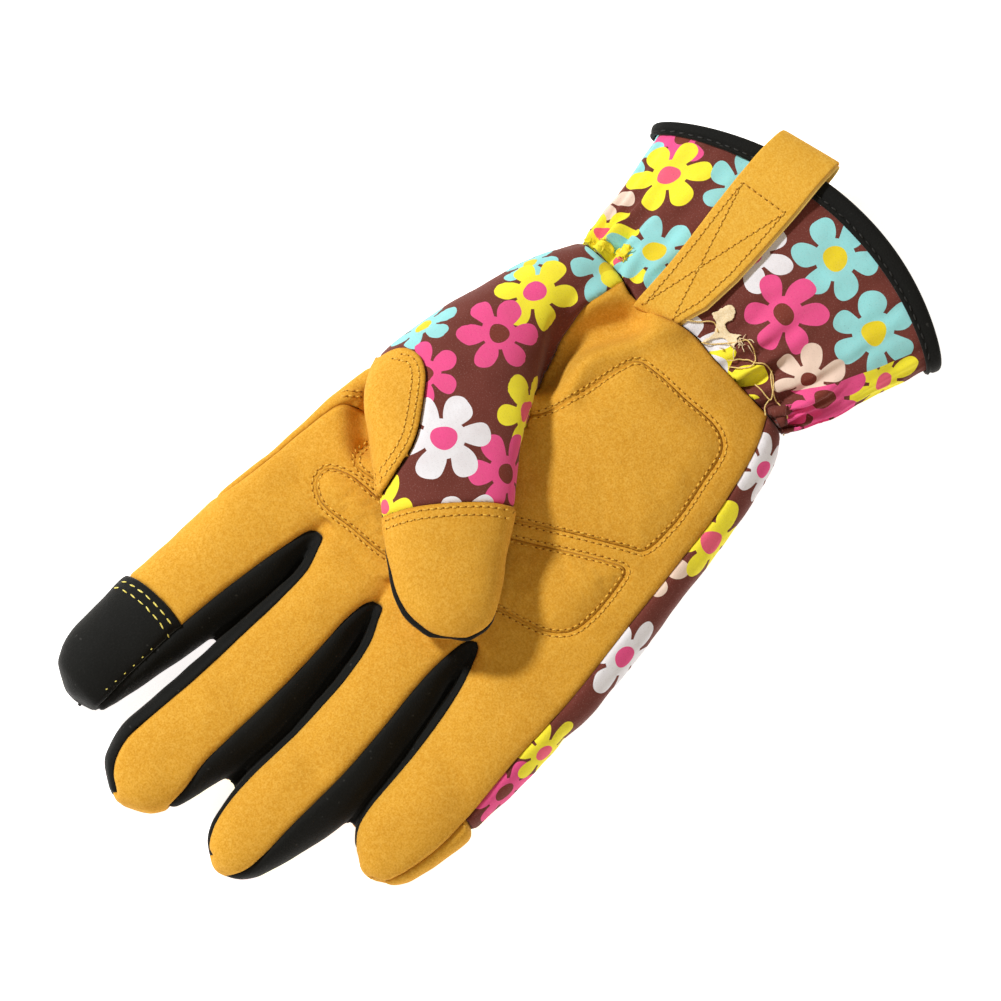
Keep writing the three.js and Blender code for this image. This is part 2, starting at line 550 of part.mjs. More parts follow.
const SLIVER = 2e-3; // cuts leave points this near to each other, and crumbs that aren't part of a panel
const glove = new THREE.Group();
Object.entries(pieces).forEach(([name, made]) => {
  const geometry = geometryOf(largest(solid(geometryOf(made), SLIVER)));
  geometry.computeVertexNormals();
  const mesh = new THREE.Mesh(geometry, materialOf(name));
  mesh.name = name;
  glove.add(mesh);
});
const middle = new THREE.Box3().setFromObject(glove).getCenter(new THREE.Vector3());
glove.position.set(-middle.x, -middle.y, 0);
export default glove;
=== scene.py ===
# The looks of a padded gardening glove for the right hand, lying on its back with the palm up.
#
# Shapes are worked out in millimetres in the hand's own frame, as in the part's source: +Z is up, the
# fingers point along +Y and the thumb is on the +X side. show() moves each finished piece into the object's
# frame, in metres. One closed skin is made for hand, fingers and thumb. It is carved along the seams into
# the panels that the glove is sewn from, and every panel's edges are then rolled into its seams, or lapped
# over its neighbour.

import json
import math
import random

import bmesh
import bpy
import numpy as np
from mathutils import Matrix, Vector, noise
from mathutils.bvhtree import BVHTree
from mathutils.kdtree import KDTree

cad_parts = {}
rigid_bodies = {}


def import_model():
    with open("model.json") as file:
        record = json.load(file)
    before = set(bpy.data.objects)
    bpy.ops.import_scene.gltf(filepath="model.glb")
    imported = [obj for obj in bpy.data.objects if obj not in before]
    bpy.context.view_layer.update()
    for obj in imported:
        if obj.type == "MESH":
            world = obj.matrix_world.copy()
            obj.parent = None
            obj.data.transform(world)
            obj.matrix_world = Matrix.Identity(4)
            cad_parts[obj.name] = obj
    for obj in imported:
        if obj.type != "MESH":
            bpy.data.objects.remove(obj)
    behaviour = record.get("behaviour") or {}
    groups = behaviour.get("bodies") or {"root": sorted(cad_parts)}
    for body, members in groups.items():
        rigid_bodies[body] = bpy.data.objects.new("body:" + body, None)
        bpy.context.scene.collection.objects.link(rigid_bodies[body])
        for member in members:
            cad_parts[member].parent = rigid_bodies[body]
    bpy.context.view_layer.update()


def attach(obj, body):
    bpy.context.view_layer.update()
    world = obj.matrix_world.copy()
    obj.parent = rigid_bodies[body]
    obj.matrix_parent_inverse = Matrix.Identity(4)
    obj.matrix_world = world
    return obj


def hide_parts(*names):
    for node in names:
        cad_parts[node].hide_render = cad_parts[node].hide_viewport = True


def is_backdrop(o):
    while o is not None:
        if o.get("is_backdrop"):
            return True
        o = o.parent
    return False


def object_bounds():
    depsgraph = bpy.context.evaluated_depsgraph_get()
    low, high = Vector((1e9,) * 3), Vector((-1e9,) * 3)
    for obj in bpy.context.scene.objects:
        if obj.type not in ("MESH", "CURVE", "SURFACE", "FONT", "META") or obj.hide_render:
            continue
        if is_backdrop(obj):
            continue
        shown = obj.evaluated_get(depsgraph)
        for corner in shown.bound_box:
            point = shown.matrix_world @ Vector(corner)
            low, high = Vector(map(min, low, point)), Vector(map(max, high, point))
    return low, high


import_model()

# Driving dimensions, in millimetres
MM = 0.001
HAND_ORIGIN = Vector((5.74, -2.375, 0))  # the hand's own origin, from the middle of the footprint
SKIN_VOXEL = 0.7
CLOTH = 1.3
WRIST_Y, WRIST_SLOPE = -60, 0.07
HEM_Y, HEM_X, HEM_BOW, HEM_THUMB_BOW = -112, -11, 0.0066, 0.0062
SEAM_Z, TIP_SEAM_Z = 2.2, 0.25  # the palm side's panels end at these heights
OVER_PALM_Z = 18.2
THUMB_SEAM_Z, THUMB_UNDER_Z, THUMB_SLOPE = 21.1, 18.0, (-0.004, 0.177)
BELLY, SINK = 0.36, 2.5  # a section is widest at this share of its height, and pressed flat by this much
SEAM_ROLL, SEAM_REACH = 0.75, 1.9  # how deep a sewn edge turns in, and over what width
LAP = 0.75  # a lapped edge stands this much proud of its neighbour
# A cut edge: points nearer than these are made one, anywhere, along the edge and beside it, and slivers go
CUT_WELD, RIM_WELD, RIM_NEAR, SLIVER = 0.05, 0.3, 0.36, 0.02
RIM_CORNER, RIM_ROUNDS = 0.9, 3  # bends below this angle are smoothed, this often
TURNED, TURNED_FACTOR, TURNED_ROUNDS = 0.4, 0.6, 8  # faces turned from the skin by this cosine are relaxed
# A lapped edge: how near its line it counts, the reach of its rise from the line, the edge and the table
LAP_NEAR, LAP_REACH, LAP_RISE, LAP_FOOT = 1.2, 16, 3, 5
LAP_DIP, LAP_DIP_REACH = 0.25, 0.8
PAD_PUFF, PAD_SHOULDER = 1.7, 7.0
PAD_CROWN, PAD_BLOWN, PAD_BACK = 0.6, 0.5, 0.9  # shares of the puff, and how deep the back lies
PAD_BED, PAD_BED_REACH = 1.15, 2.2  # the palm panel is pressed down this much under a pad
PRESSURE, SHRINK, BLOW_FRAMES = 4, -0.03, 20
GROOVE, GROOVE_WIDTH = 0.5, 1.3  # the valley that a row of stitches pulls into the suede
BINDING_WIDTH, BINDING_CLOTH = 5.2, 0.9
PAD_ROWS = (0.9, 0.75)  # the two rows of stitches, inside and outside a pad's outline
HEM_INSET = 3.0
FAR = 200
ABOVE_ALL = 60
NO_EDGE = 9.0  # stands for a distance from the edge that is too far for the suede's edge tone, such as its painted seam shade

# Columns: y, left, right, top, squareness (2 is an ellipse)
HAND = np.array([
    (-68, -33.0, 36.0, 13.4, 2.6),
    (-60, -33.6, 36.6, 14.0, 2.6),
    (-55, -37.4, 38.3, 15.6, 2.7),
    (-46, -41.0, 40.8, 16.9, 2.9),
    (-32, -45.4, 42.8, 17.5, 3.0),
    (-16, -48.8, 44.5, 17.5, 3.2),
    (0, -52.0, 45.6, 17.3, 3.4),
    (14, -54.0, 46.4, 17.0, 3.6),
    (24, -55.2, 46.6, 16.7, 3.8),
    (39, -55.8, 46.7, 16.0, 4.0),
])
FINGER_ROOTS = np.array([(-60, 29), (-26, 29), (-12, 35), (0, 38.5), (48, 38.5)])

# Columns: y, left, right, left seam, right seam, top, squareness
FINGERS = {
    "little": np.array([
        (20, -52.4, -20.0, -50.2, -20.0, 13.0, 4.0),
        (32, -56.1, -23.4, -51.7, -25.2, 16.0, 3.2),
        (40, -56.7, -27.4, -52.5, -29.3, 15.6, 2.5),
        (50, -57.5, -30.3, -54.0, -32.3, 15.2, 2.3),
        (60, -58.0, -32.9, -55.5, -34.3, 14.6, 2.2),
        (70, -58.4, -35.0, -56.4, -35.8, 13.8, 2.2),
        (77, -57.8, -36.4, -55.9, -36.9, 12.8, 2.2),
        (82, -56.4, -38.4, -55.0, -38.6, 11.2, 2.2),
        (85.5, -53.4, -42.0, -53.4, -42.0, 9.0, 2.1),
        (87.6, -49.8, -45.6, -49.8, -45.6, 6.2, 2.0),
    ]),
    "ring": np.array([
        (22, -28.0, 4.0, -24.0, 4.0, 13.0, 4.0),
        (32, -25.8, 2.6, -22.8, 2.0, 16.0, 3.6),
        (42, -26.8, 0.3, -22.5, -2.6, 15.8, 3.0),
        (50, -29.0, -4.1, -23.5, -6.4, 15.6, 2.5),
        (60, -31.4, -6.9, -25.3, -9.2, 15.3, 2.3),
        (72, -34.0, -8.9, -27.1, -10.8, 15.0, 2.2),
        (84, -35.3, -10.1, -28.1, -11.6, 14.4, 2.2),
        (96, -34.2, -11.1, -28.9, -12.3, 13.4, 2.2),
        (104, -32.5, -12.8, -29.6, -13.7, 12.2, 2.2),
        (109, -30.8, -14.9, -29.4, -15.6, 10.8, 2.2),
        (112.2, -28.0, -18.0, -28.0, -18.0, 8.8, 2.1),
        (113.8, -25.2, -21.0, -25.2, -21.0, 6.2, 2.0),
    ]),
    "middle": np.array([
        (30, -4.0, 24.0, -4.0, 24.0, 13.0, 4.0),
        (42, -1.5, 22.8, -0.6, 20.4, 16.0, 3.2),
        (50, -2.8, 19.6, 0.8, 17.2, 15.8, 2.6),
        (60, -5.5, 18.8, -0.3, 16.1, 15.6, 2.3),
        (72, -7.5, 19.1, -1.6, 15.5, 15.3, 2.2),
        (84, -8.8, 19.1, -2.1, 14.9, 15.0, 2.2),
        (92, -8.6, 19.1, -2.6, 14.8, 14.6, 2.2),
        (100, -7.3, 18.9, -3.0, 14.9, 13.9, 2.2),
        (108, -6.0, 18.8, -4.6, 15.2, 12.8, 2.2),
        (114, -4.6, 17.4, -4.6, 13.8, 11.4, 2.2),
        (118.5, -1.6, 14.7, -3.0, 10.8, 9.4, 2.1),
        (121.3, 3.4, 9.6, 3.4, 6.4, 6.4, 2.0),
    ]),
    "index": np.array([
        (28, 20.0, 44.9, 20.0, 52.0, 13.0, 4.0),
        (42, 21.4, 46.8, 22.8, 52.0, 16.0, 3.2),
        (50, 20.8, 46.8, 24.6, 52.0, 15.8, 2.7),
        (60, 20.1, 46.5, 25.6, 52.0, 15.6, 2.4),
        (72, 20.6, 46.3, 26.2, 52.0, 15.3, 2.3),
        (84, 21.3, 46.2, 26.3, 52.0, 14.9, 2.3),
        (94, 22.5, 45.7, 26.0, 52.0, 14.0, 2.3),
        (102, 23.7, 45.1, 25.7, 52.0, 12.8, 2.2),
        (108, 24.5, 43.1, 25.4, 52.0, 11.2, 2.2),
        (111.4, 26.0, 40.3, 26.0, 52.0, 9.2, 2.1),
        (113.2, 30.4, 36.4, 30.4, 36.4, 6.4, 2.0),
    ]),
}
ORDER = ("little", "ring", "middle", "index")
SEAM_LEFT, SEAM_RIGHT = 3, 4
CROTCHES = ((-24.6, 31.0), (-1.5, 42.0), (21.8, 41.2))
WEB_ENDS, WEB_TOP, WEB_NOTCH = (76, 92, 72), 6.5, 7

# Columns: left edge x and y, right edge x and y, bottom, top, squareness. The rows run from wrist to tip.
THUMB = np.array([
    (22.0, -57.5, 35.5, -57.0, 2.0, 13.0, 2.2),
    (21.3, -46.0, 41.0, -45.0, 2.0, 17.5, 2.2),
    (19.5, -36.0, 43.6, -29.0, 3.0, 21.5, 2.3),
    (16.0, -27.5, 45.2, -13.0, 4.0, 26.0, 2.4),
    (12.0, -20.5, 45.0, 2.0, 9.5, 30.3, 2.4),
    (7.5, -13.5, 37.7, 12.6, 19.6, 32.8, 2.4),
    (2.0, -6.5, 29.6, 17.8, 20.2, 34.0, 2.4),
    (-3.5, -0.4, 21.0, 23.2, 20.6, 34.4, 2.3),
    (-8.8, 5.2, 11.8, 29.6, 20.7, 34.8, 2.3),
    (-15.2, 12.5, 4.4, 34.8, 20.7, 34.6, 2.3),
    (-21.3, 19.7, -3.4, 39.6, 20.8, 33.6, 2.3),
    (-25.0, 26.6, -10.6, 41.7, 21.4, 31.8, 2.2),
    (-24.4, 33.0, -17.2, 40.4, 23.4, 29.4, 2.0),
])

# Columns: share of the way from the elastic to the hem, left, right, top
CUFF = np.array([
    (0, -33.2, 36.2, 12.4),
    (0.1, -35.8, 37.2, 13.6),
    (0.25, -38.8, 38.5, 15.4),
    (0.45, -41.0, 40.2, 17.2),
    (0.7, -43.6, 42.3, 19.0),
    (0.88, -45.4, 44.0, 20.2),
    (1, -46.6, 45.6, 21.0),
])
CUFF_SQUARE = 2.4
STRIP_SCALE = 0.85  # the print on the little finger's side, against the way round the side
CUFF_LENGTH = 48

# Seams and outlines in plan
PALM_SIDE_SEAM = ((-29, -61.5), (-33.2, -54.3), (-38.8, -38.1), (-42.9, -18), (-46, -1), (-49.5, 17))
BEYOND = 52
INDEX_CAP_EDGE = ((15, 84.6), (25.7, 82.4), (32.7, 81.8), (40.7, 82.6), (45.5, 84), (60, 90))
LITTLE_CAP_Y = 61
PADS = {
    "heel_pad": (
        (-34.7, -14.6), (-31.5, -12.2), (-11.1, 1.9), (14, 19.5), (28, 23.8), (31.6, 19.4), (28, 9),
        (19, -5), (8.6, -17.3), (5.4, -27.2), (3.8, -40.5), (2.2, -45.6), (-3, -47.2), (-12.6, -48.2),
        (-23.5, -49.3), (-28.2, -47), (-31.8, -36.6), (-34.9, -23.6)),
    "knuckle_pad": (
        (-37.7, -1.7), (-38.8, 6.2), (-38.2, 11.6), (-34.4, 16.2), (-22, 21.5), (-7.4, 28.4), (6.4, 33.6),
        (16.3, 35.2), (27.3, 36.6), (32, 34), (32.8, 30.2), (28.4, 27), (12, 23.6), (-13, 6), (-31, -6.6),
        (-35.2, -8.7)),
}
PAD_FLOOR, PAD_CEILING = 8, 20.2  # the pads are cut from the skin between these heights
SADDLE_ON_THUMB = ((16.7, 26.4), (17.6, 19), (19.9, 11.7), (26, 3.7), (32.1, -2.3), (36.6, -3.9), (41, -2.2),
                   (43.6, 4), (44.4, 10), (38.4, 14.8), (30, 19.4), (21, 25))
SADDLE_SIDE_SEAM = ((47.4, 57), (46.2, 53.6), (45.2, 46), (44.8, 40), (45, 32.4), (44.8, 26), (44.4, 20.5),
                    (43.2, 17), (41, 14.3), (38, 12.2), (33, 10))
SADDLE_ON_SIDE = ((32, 8), (43.6, 3), (52, 1.6), (52, 57))
CAP_SEAM = ((-7.0, 4.2), (11.5, 29.3))
ROOT_FOOT = (20.4, -64)
ROOT_PALM = ((22, 0), (34, 4))

# Loose threads at the wrist, in plan, and how high they stand off the cloth
ELASTIC_THREADS = (
    (((-4.2, -61), (-9.5, -66.8), (-11.9, -69.8), (-15.1, -69.4), (-17.2, -67.7), (-16.2, -64.6),
      (-13.2, -62.6)), 0.5),
    (((-11.5, -63.4), (-14.2, -66.4), (-17.2, -67.7), (-20.3, -70.2), (-23.3, -68.4), (-25.5, -65.1),
      (-21.3, -64.5)), 0.7),
    (((-21, -70.2), (-24.6, -66.8), (-28.4, -65.8), (-32.4, -65.2), (-33.6, -63)), 0.9),
    (((-25.5, -65.1), (-26.6, -63), (-28.2, -61)), 0.5),
    (((3.6, -61.4), (0.6, -63.6), (-2.6, -67), (-5, -66.2)), 0.6),
)
# Frayed tufts: the middle in plan, how far they reach, their lean, how many threads, their paint
TUFTS = (
    ((-10.2, -69.4), 2.4, 2.9, 7, "cream_thread"),
    ((-10.6, -66.6), 2.2, 2.4, 6, "cream_thread"),
    ((31.6, -60.6), 2.6, 0.5, 7, "gold_thread"),
    ((25.0, -62.4), 2.0, -1.0, 6, "gold_thread"),
)
# Torn scraps of cloth in the gathers: their outline in plan, how much they are crumpled, their paint
SCRAPS = (
    (((-0.3, -67.7), (-0.9, -69.7), (-1.6, -72.5), (-3, -73.4), (-4.7, -72.5), (-5.6, -70.6),
      (-5.1, -69), (-6.7, -68.4), (-8.6, -69.6), (-10.2, -70.3), (-9.7, -68.6), (-11.6, -69), (-10.6, -67.4),
      (-11.7, -65.6), (-9.6, -66.2), (-7.4, -66), (-5.6, -63.8), (-4.5, -60.9), (-3.9, -62.4),
      (-4.2, -65), (-2.6, -67.2)),
     0.3, "cream_thread"),
    (((28.7, -61.8), (28.3, -63.5), (27.1, -64.6), (25.7, -65.1), (24.9, -63.6), (24.6, -62), (25.6, -60.8),
      (27.2, -60.5)), 0.7, "gold_thread"),
    (((36.4, -56), (35, -57.8), (34.2, -59.7), (32.2, -61.2), (30.3, -62.2), (28.4, -61.8), (28.3, -60.2),
      (30.5, -59.2), (32.9, -58.2), (34.8, -57)), 0.4, "gold_thread"),
)
SCRAP_CELL = 0.3

# Gathers round the elastic: how many, phase, twist along the cuff, share of their depth
GATHERS = ((19, 0.4, 2.0, 0.5), (27, 1.9, -3.0, 0.5), (37, 0.2, 2.5, 0.35), (9, 2.2, 1.0, 0.3))
GATHER_DEPTH = 1.5
CUFF_AROUND, CUFF_ALONG = 320, 96

# Columns: y, left, right of the strap, to the fold
LOOP = np.array([
    (-118, 6.8, 22.0),
    (-108, 5.4, 21.4),
    (-97, 3.8, 20.4),
    (-87, 2.5, 18.8),
    (-77, 1.4, 17.0),
    (-67, 1.3, 15.4),
    (-62, 2.2, 14.6),
    (-56.5, 3.4, 14.0),
])
LOOP_THICK, LOOP_SKEW, END_SKEW = 1.5, 0.3, 0.4
LOOP_FOLD, LOOP_BEND, LOOP_INSIDE = -113.7, 3.8, -97
# How far the strap stands off the cuff, by y. Its end is sewn into the seam at the elastic.
STRAP_HEIGHTS = ((-57.3, -1.6), (-58.6, 0.2), (-61, 0.9), (-65, 0.7), (-72, 0.2), (-80, 0), (-90, 0),
                 (-98, 0.3))
STRAP_CLEAR = 0.8

# Stitches: pitch, length and thickness
SUEDE_STITCH = (1.8, 1.25, 0.52)
HEM_STITCH = (2.4, 1.7, 0.5)
CAP_STITCH = (2.6, 2, 0.42)
TIP_STITCH = (2.9, 0.6, 0.32)
STITCH_LIFT = 0.1
STITCH_LEAN, STITCH_SPREAD = 0.2, 0.15
# Rows of stitches, as distances to the left of a seam
SADDLE_ROWS = (1.6, 3.4)
THUMB_CAP_ROWS = (1.2, 3.2)
INDEX_CAP_ROWS, INDEX_ROW_X = (1.9, 4.0), (24.8, 46.5)
INDEX_SIDE_ROW = ((27, 90), (26.9, 99), (27.2, 107.5))
SADDLE_TACKS = (((44.5, 15.4), (41.2, 11)), ((45.6, 14.4), (42.3, 10)))
LITTLE_CAP_ROW = ((-57, LITTLE_CAP_Y + 1.4), (-40, LITTLE_CAP_Y + 1.4))
LOOP_ROW_Y, LOOP_ROW_INSET = (-58.6, -62, -67, -77, -87, -96), 1.9

# Columns: paint, flat size in metres, and its area where fingers or a taper are cut into it. These flats
# were fitted to the panels as modelled.
SHEETS = {
    "saddle_patch": ("suede", (0.035, 0.06), 0.0015),
    "thumb_tip_cap": ("suede", (0.03, 0.034), None),
    "thumb_back": ("thumb_cloth", (0.045, 0.09), 0.0035),
    "thumb_gusset": ("black", (0.012, 0.09), 0.0009),
    "thumb_underside": ("suede", (0.024, 0.04), 0.0008),
    "palm_panel": ("suede", (0.1, 0.185), 0.0125),
    "index_tip_cap": ("black", (0.026, 0.032), None),
    "fourchette_little_ring": ("black", (0.01, 0.125), None),
    "fourchette_ring_middle": ("black", (0.01, 0.125), None),
    "fourchette_middle_index": ("black", (0.01, 0.13), None),
    "back_panel": ("back_cloth", (0.12, 0.19), 0.0185),
    "little_tip_cap": ("suede", (0.027, 0.03), None),
}

# The camera looks down this far off the vertical, with the hand turned in the photo, both in degrees
CAMERA_TILT, CAMERA_TURN = 12.5, 41.3
CAMERA_AWAY, LENS = 1.0, 143.86
PHOTO_WIDTH, SHIFT_PIXELS = 1001, -4.5

# Folds and dents of the suede: a line in plan, its width, its height, and how steep its sides are
FOLDS = (
    (((11.6, -50.6), (14.2, -45.4), (16.8, -39), (17.2, -33), (15.4, -26)), 5.0, -7.6, 2.8),
    (((2.4, -58.6), (5.4, -53), (8.4, -46.5), (10, -40.5), (9.8, -34), (6.5, -27)), 3.4, 1.7, 2),
    (((37.8, 9.5), (36.4, 12.2), (34, 14), (31.2, 16)), 5.4, -7.2, 2.6),
    (((44, 16.5), (41.4, 12.8)), 3.0, 1.6, 2),
    (((-14, -62), (-10, -56), (-2, -52)), 5.0, 0.8, 2),
    (((-26, -4), (-16, 2)), 3.0, -0.4, 2),
    (((-22, 80), (-14, 79)), 4.5, -1.1, 2),
    (((1, 83), (11, 81)), 5.0, -0.7, 2),
    (((28, 62), (42, 66)), 5.0, -0.5, 2),
    (((-52, 58), (-38, 54)), 4.0, -0.6, 2),
    (((-8, 42), (-6, 52)), 3.5, -0.5, 2),
)


def smooth_columns(rows, stations):
    """The columns of a table at other values of its first one, by a smooth curve through its rows."""
    at = rows[:, 0]
    slopes = np.gradient(rows, at, axis=0)
    k = np.clip(np.searchsorted(at, stations) - 1, 0, len(at) - 2)
    width = (at[k + 1] - at[k])[:, None]
    t = ((stations - at[k]) / width[:, 0])[:, None]
    a, b = rows[k], rows[k + 1]
    ease = t * t * (3 - 2 * t)
    bend = t * (1 - t) ** 2 * width * slopes[k] - t * t * (1 - t) * width * slopes[k + 1]
    return a * (1 - ease) + b * ease + bend


def smooth_path(points, step=1.0, closed=False):
    """Points about one step apart along a smooth curve through the given ones."""
    p = np.array(points, float)
    ends = (p[-1:], p[:2]) if closed else (2 * p[:1] - p[1:2], 2 * p[-1:] - p[-2:-1])
    p = np.vstack((ends[0], p, ends[1]))
    made = []
    for a, b, c, d in zip(p, p[1:], p[2:], p[3:]):
        ab, bc, cd = (max(1e-6, np.linalg.norm(q - r)) ** 0.5 for q, r in ((b, a), (c, b), (d, c)))
        start = (b - a) / ab - (c - a) / (ab + bc) + (c - b) / bc
        end = (c - b) / bc - (d - b) / (bc + cd) + (d - c) / cd
        count = max(1, round(np.linalg.norm(c - b) / step))
        t = (np.arange(count) / count)[:, None]
        made.append((2 * t**3 - 3 * t**2 + 1) * b + (t**3 - 2 * t**2 + t) * bc * start
                    + (3 * t**2 - 2 * t**3) * c + (t**3 - t**2) * bc * end)
    if not closed:
        made.append(p[-2:-1])
    return np.vstack(made)


def even_path(points, pitch):
    """Points one pitch apart along a path."""
    gone = np.concatenate(([0], np.cumsum(np.linalg.norm(np.diff(points, axis=0), axis=1))))
    at = np.arange(pitch / 2, gone[-1], pitch)
    return np.stack([np.interp(at, gone, points[:, k]) for k in range(points.shape[1])], axis=1)


def close(path):
    return np.vstack((path, path[:1]))


def side_step(path, distance):
    """A path moved to its left, or to its right by a negative distance."""
    along = np.gradient(path, axis=0)
    along /= np.linalg.norm(along, axis=1)[:, None] + 1e-9
    return path + distance * np.stack((-along[:, 1], along[:, 0]), axis=1)


def distance_to(path, x, y):
    """How far points in plan are from a path."""
    least = np.full(x.shape, np.inf)
    for (ax, ay), (bx, by) in zip(path[:-1], path[1:]):
        dx, dy = bx - ax, by - ay
        t = np.clip(((x - ax) * dx + (y - ay) * dy) / max(dx * dx + dy * dy, 1e-9), 0, 1)
        least = np.minimum(least, np.hypot(x - ax - t * dx, y - ay - t * dy))
    return least


def inside(path, x, y):
    """True for points in plan within a closed path."""
    found = np.zeros(x.shape, bool)
    for (ax, ay), (bx, by) in zip(path, np.roll(path, -1, axis=0)):
        crosses = (ay > y) != (by > y)
        found ^= crosses & (x < (bx - ax) * (y - ay) / (by - ay if by != ay else 1e-9) + ax)
    return found


def ease(t):
    t = np.clip(t, 0, 1)
    return t * t * (3 - 2 * t)


def wrist_y(x):
    return WRIST_Y + WRIST_SLOPE * x


def elastic_y(x):
    """The seam between hand and cuff, which rises where the palm's valley meets it."""
    return wrist_y(x) + 3.0 * np.exp(-(((x - 14) / 6.5) ** 2)) - 1.2 * np.exp(-(((x + 2) / 6) ** 2))


def hem_y(x):
    return HEM_Y + np.where(x < HEM_X, HEM_BOW, HEM_THUMB_BOW) * (x - HEM_X) ** 2


def oval(angle, half, bottom, top, square, sink=SINK):
    """A section's outline at the given angles: across and up."""
    c, s = np.cos(angle), np.sin(angle)
    power = 2 / square
    belly = bottom + (top - bottom) * BELLY
    across = half * np.sign(c) * np.abs(c) ** power
    rise = np.abs(s) ** power
    low = np.maximum(bottom, belly - (belly - bottom + sink) * rise)
    return across, np.where(s > 0, belly + (top - belly) * rise, low)


def lattice(around, along, place):
    """A grid of faces whose points place() sets, from each point's column and row."""
    bm = bmesh.new()
    bmesh.ops.create_grid(bm, x_segments=around, y_segments=along, size=1)
    flat = np.array([v.co[:2] for v in bm.verts])
    column, line = ((flat + 1) / 2 * (around, along)).round().astype(int).T
    for v, co in zip(bm.verts, place(column, line)):
        v.co = co
    return bm


def tube(rings):
    """A closed body through rings of points, an array of rings by points by 3."""
    along, around = len(rings), len(rings[0])
    bm = lattice(around, along - 1, lambda column, line: rings[line, column % around])
    bmesh.ops.remove_doubles(bm, verts=bm.verts, dist=1e-5)
    bmesh.ops.holes_fill(bm, edges=[e for e in bm.edges if e.is_boundary])
    bmesh.ops.recalc_face_normals(bm, faces=bm.faces)
    return bm


def absorb(whole, part):
    """Adds one body to another by way of a scratch mesh."""
    scratch = bpy.data.meshes.new("part")
    part.to_mesh(scratch)
    part.free()
    whole.from_mesh(scratch)
    bpy.data.meshes.remove(scratch)


def relax(bm, points, factor=0.5):
    bmesh.ops.smooth_vert(bm, verts=points, factor=factor,
                          use_axis_x=True, use_axis_y=True, use_axis_z=True)


def to_object(bm, name):
    """An object of the scene that holds a mesh while it is worked on."""
    mesh = bpy.data.meshes.new(name)
    bm.to_mesh(mesh)
    bm.free()
    made = bpy.data.objects.new(name, mesh)
    bpy.context.scene.collection.objects.link(made)
    return made


def finished_mesh(thing):
    """The mesh of an object with its modifiers applied. The object itself is taken away."""
    bpy.context.view_layer.update()
    mesh = bpy.data.meshes.new_from_object(thing.evaluated_get(bpy.context.evaluated_depsgraph_get()))
    bpy.data.objects.remove(thing)
    return mesh


def stations(rows, step):
    at = rows[:, 0]
    return np.linspace(at[0], at[-1], max(2, round((at[-1] - at[0]) / step)))


def hand_rings():
    rows = smooth_columns(HAND, stations(HAND, 1.5))
    angle = np.arange(140) / 140 * 2 * np.pi
    rings = []
    for y, left, right, top, square in rows:
        across, z = oval(angle, (right - left) / 2, 0, top, square)
        x = (left + right) / 2 + across
        roots = np.interp(x, FINGER_ROOTS[:, 0], FINGER_ROOTS[:, 1]) - HAND[-1, 0]
        slope = WRIST_SLOPE * x * np.clip((-30 - y) / 30, 0, 1) + roots * ease((y - 10) / (HAND[-1, 0] - 10))
        rings.append(np.stack((x, y + slope, z), axis=1))
    return np.array(rings)


def finger_rings(rows):
    rows = smooth_columns(rows, stations(rows, 1.2))
    angle = np.arange(72) / 72 * 2 * np.pi
    rings = []
    for y, left, right, _, _, top, square in rows:
        across, z = oval(angle, (right - left) / 2, 0, top, square)
        rings.append(np.stack(((left + right) / 2 + across, np.full(72, y), z), axis=1))
    rings.append(rings[-1] * (0.5, 1, 0.5) + ((rings[-1].mean(axis=0)) * (0.5, 0, 0.5)) + (0, 0.5, 0))
    return np.array(rings)


def web_rings(k):
    """The low fold that joins two fingers from their crotch to where they part."""
    a, b = FINGERS[ORDER[k]], FINGERS[ORDER[k + 1]]
    angle = np.arange(48) / 48 * 2 * np.pi
    rings = []
    for y in np.arange(CROTCHES[k][1] - 8, WEB_ENDS[k], 1.0):
        right = np.interp(y, a[:, 0], a[:, 2])
        left = np.interp(y, b[:, 0], b[:, 1])
        half = abs(left - right) / 2 + 2.6
        across, z = oval(angle, half, 0, WEB_TOP * (1 - 0.5 * ease((y - WEB_ENDS[k] + 6) / 6)), 2.6)
        notch = WEB_NOTCH * np.minimum(1, np.abs(across) / (half - 2.3))
        rings.append(np.stack(((left + right) / 2 + across, y + notch, z), axis=1))
    return np.array(rings)


def thumb_rings():
    count = np.arange(len(THUMB), dtype=float)[:, None]
    rows = smooth_columns(np.hstack((count, THUMB)), np.linspace(0, len(THUMB) - 1, 90))[:, 1:]
    angle = np.arange(72) / 72 * 2 * np.pi
    rings = []
    for x_left, y_left, x_right, y_right, bottom, top, square in rows:
        across, z = oval(angle, math.hypot(x_right - x_left, y_right - y_left) / 2, bottom, top, square, 0)
        share = across / math.hypot(x_right - x_left, y_right - y_left) + 0.5
        x, y = x_left + share * (x_right - x_left), y_left + share * (y_right - y_left)
        rings.append(np.stack((x, y, z), axis=1))
    return np.array(rings)


def shape_folds(mesh):
    """Presses the folds into the palm side, and lets the whole skin wander a little."""
    count = len(mesh.vertices)
    co, normal = np.empty(count * 3), np.empty(count * 3)
    mesh.vertices.foreach_get("co", co)
    mesh.vertices.foreach_get("normal", normal)
    co, normal = co.reshape(-1, 3), normal.reshape(-1, 3)
    x, y, z = co.T
    palm_side = ease(normal[:, 2] / 0.4) * (1 - ease((z - 18) / 2))
    lift = np.zeros(count)
    for line, width, height, steep in FOLDS:
        path = smooth_path(line, 2)
        near = distance_to(path, x, y)
        lift += height * np.exp(-((near / width) ** steep))
    slow = np.array([noise.noise(Vector(p) * 0.055) for p in co])
    quick = np.array([noise.noise(Vector(p) * 0.16) for p in co])
    wander = slow * 0.7 + quick * 0.22
    wander *= ease(z / 4)
    co += normal * wander[:, None]
    co[:, 2] += lift * palm_side
    mesh.vertices.foreach_set("co", co.ravel())
    mesh.update()


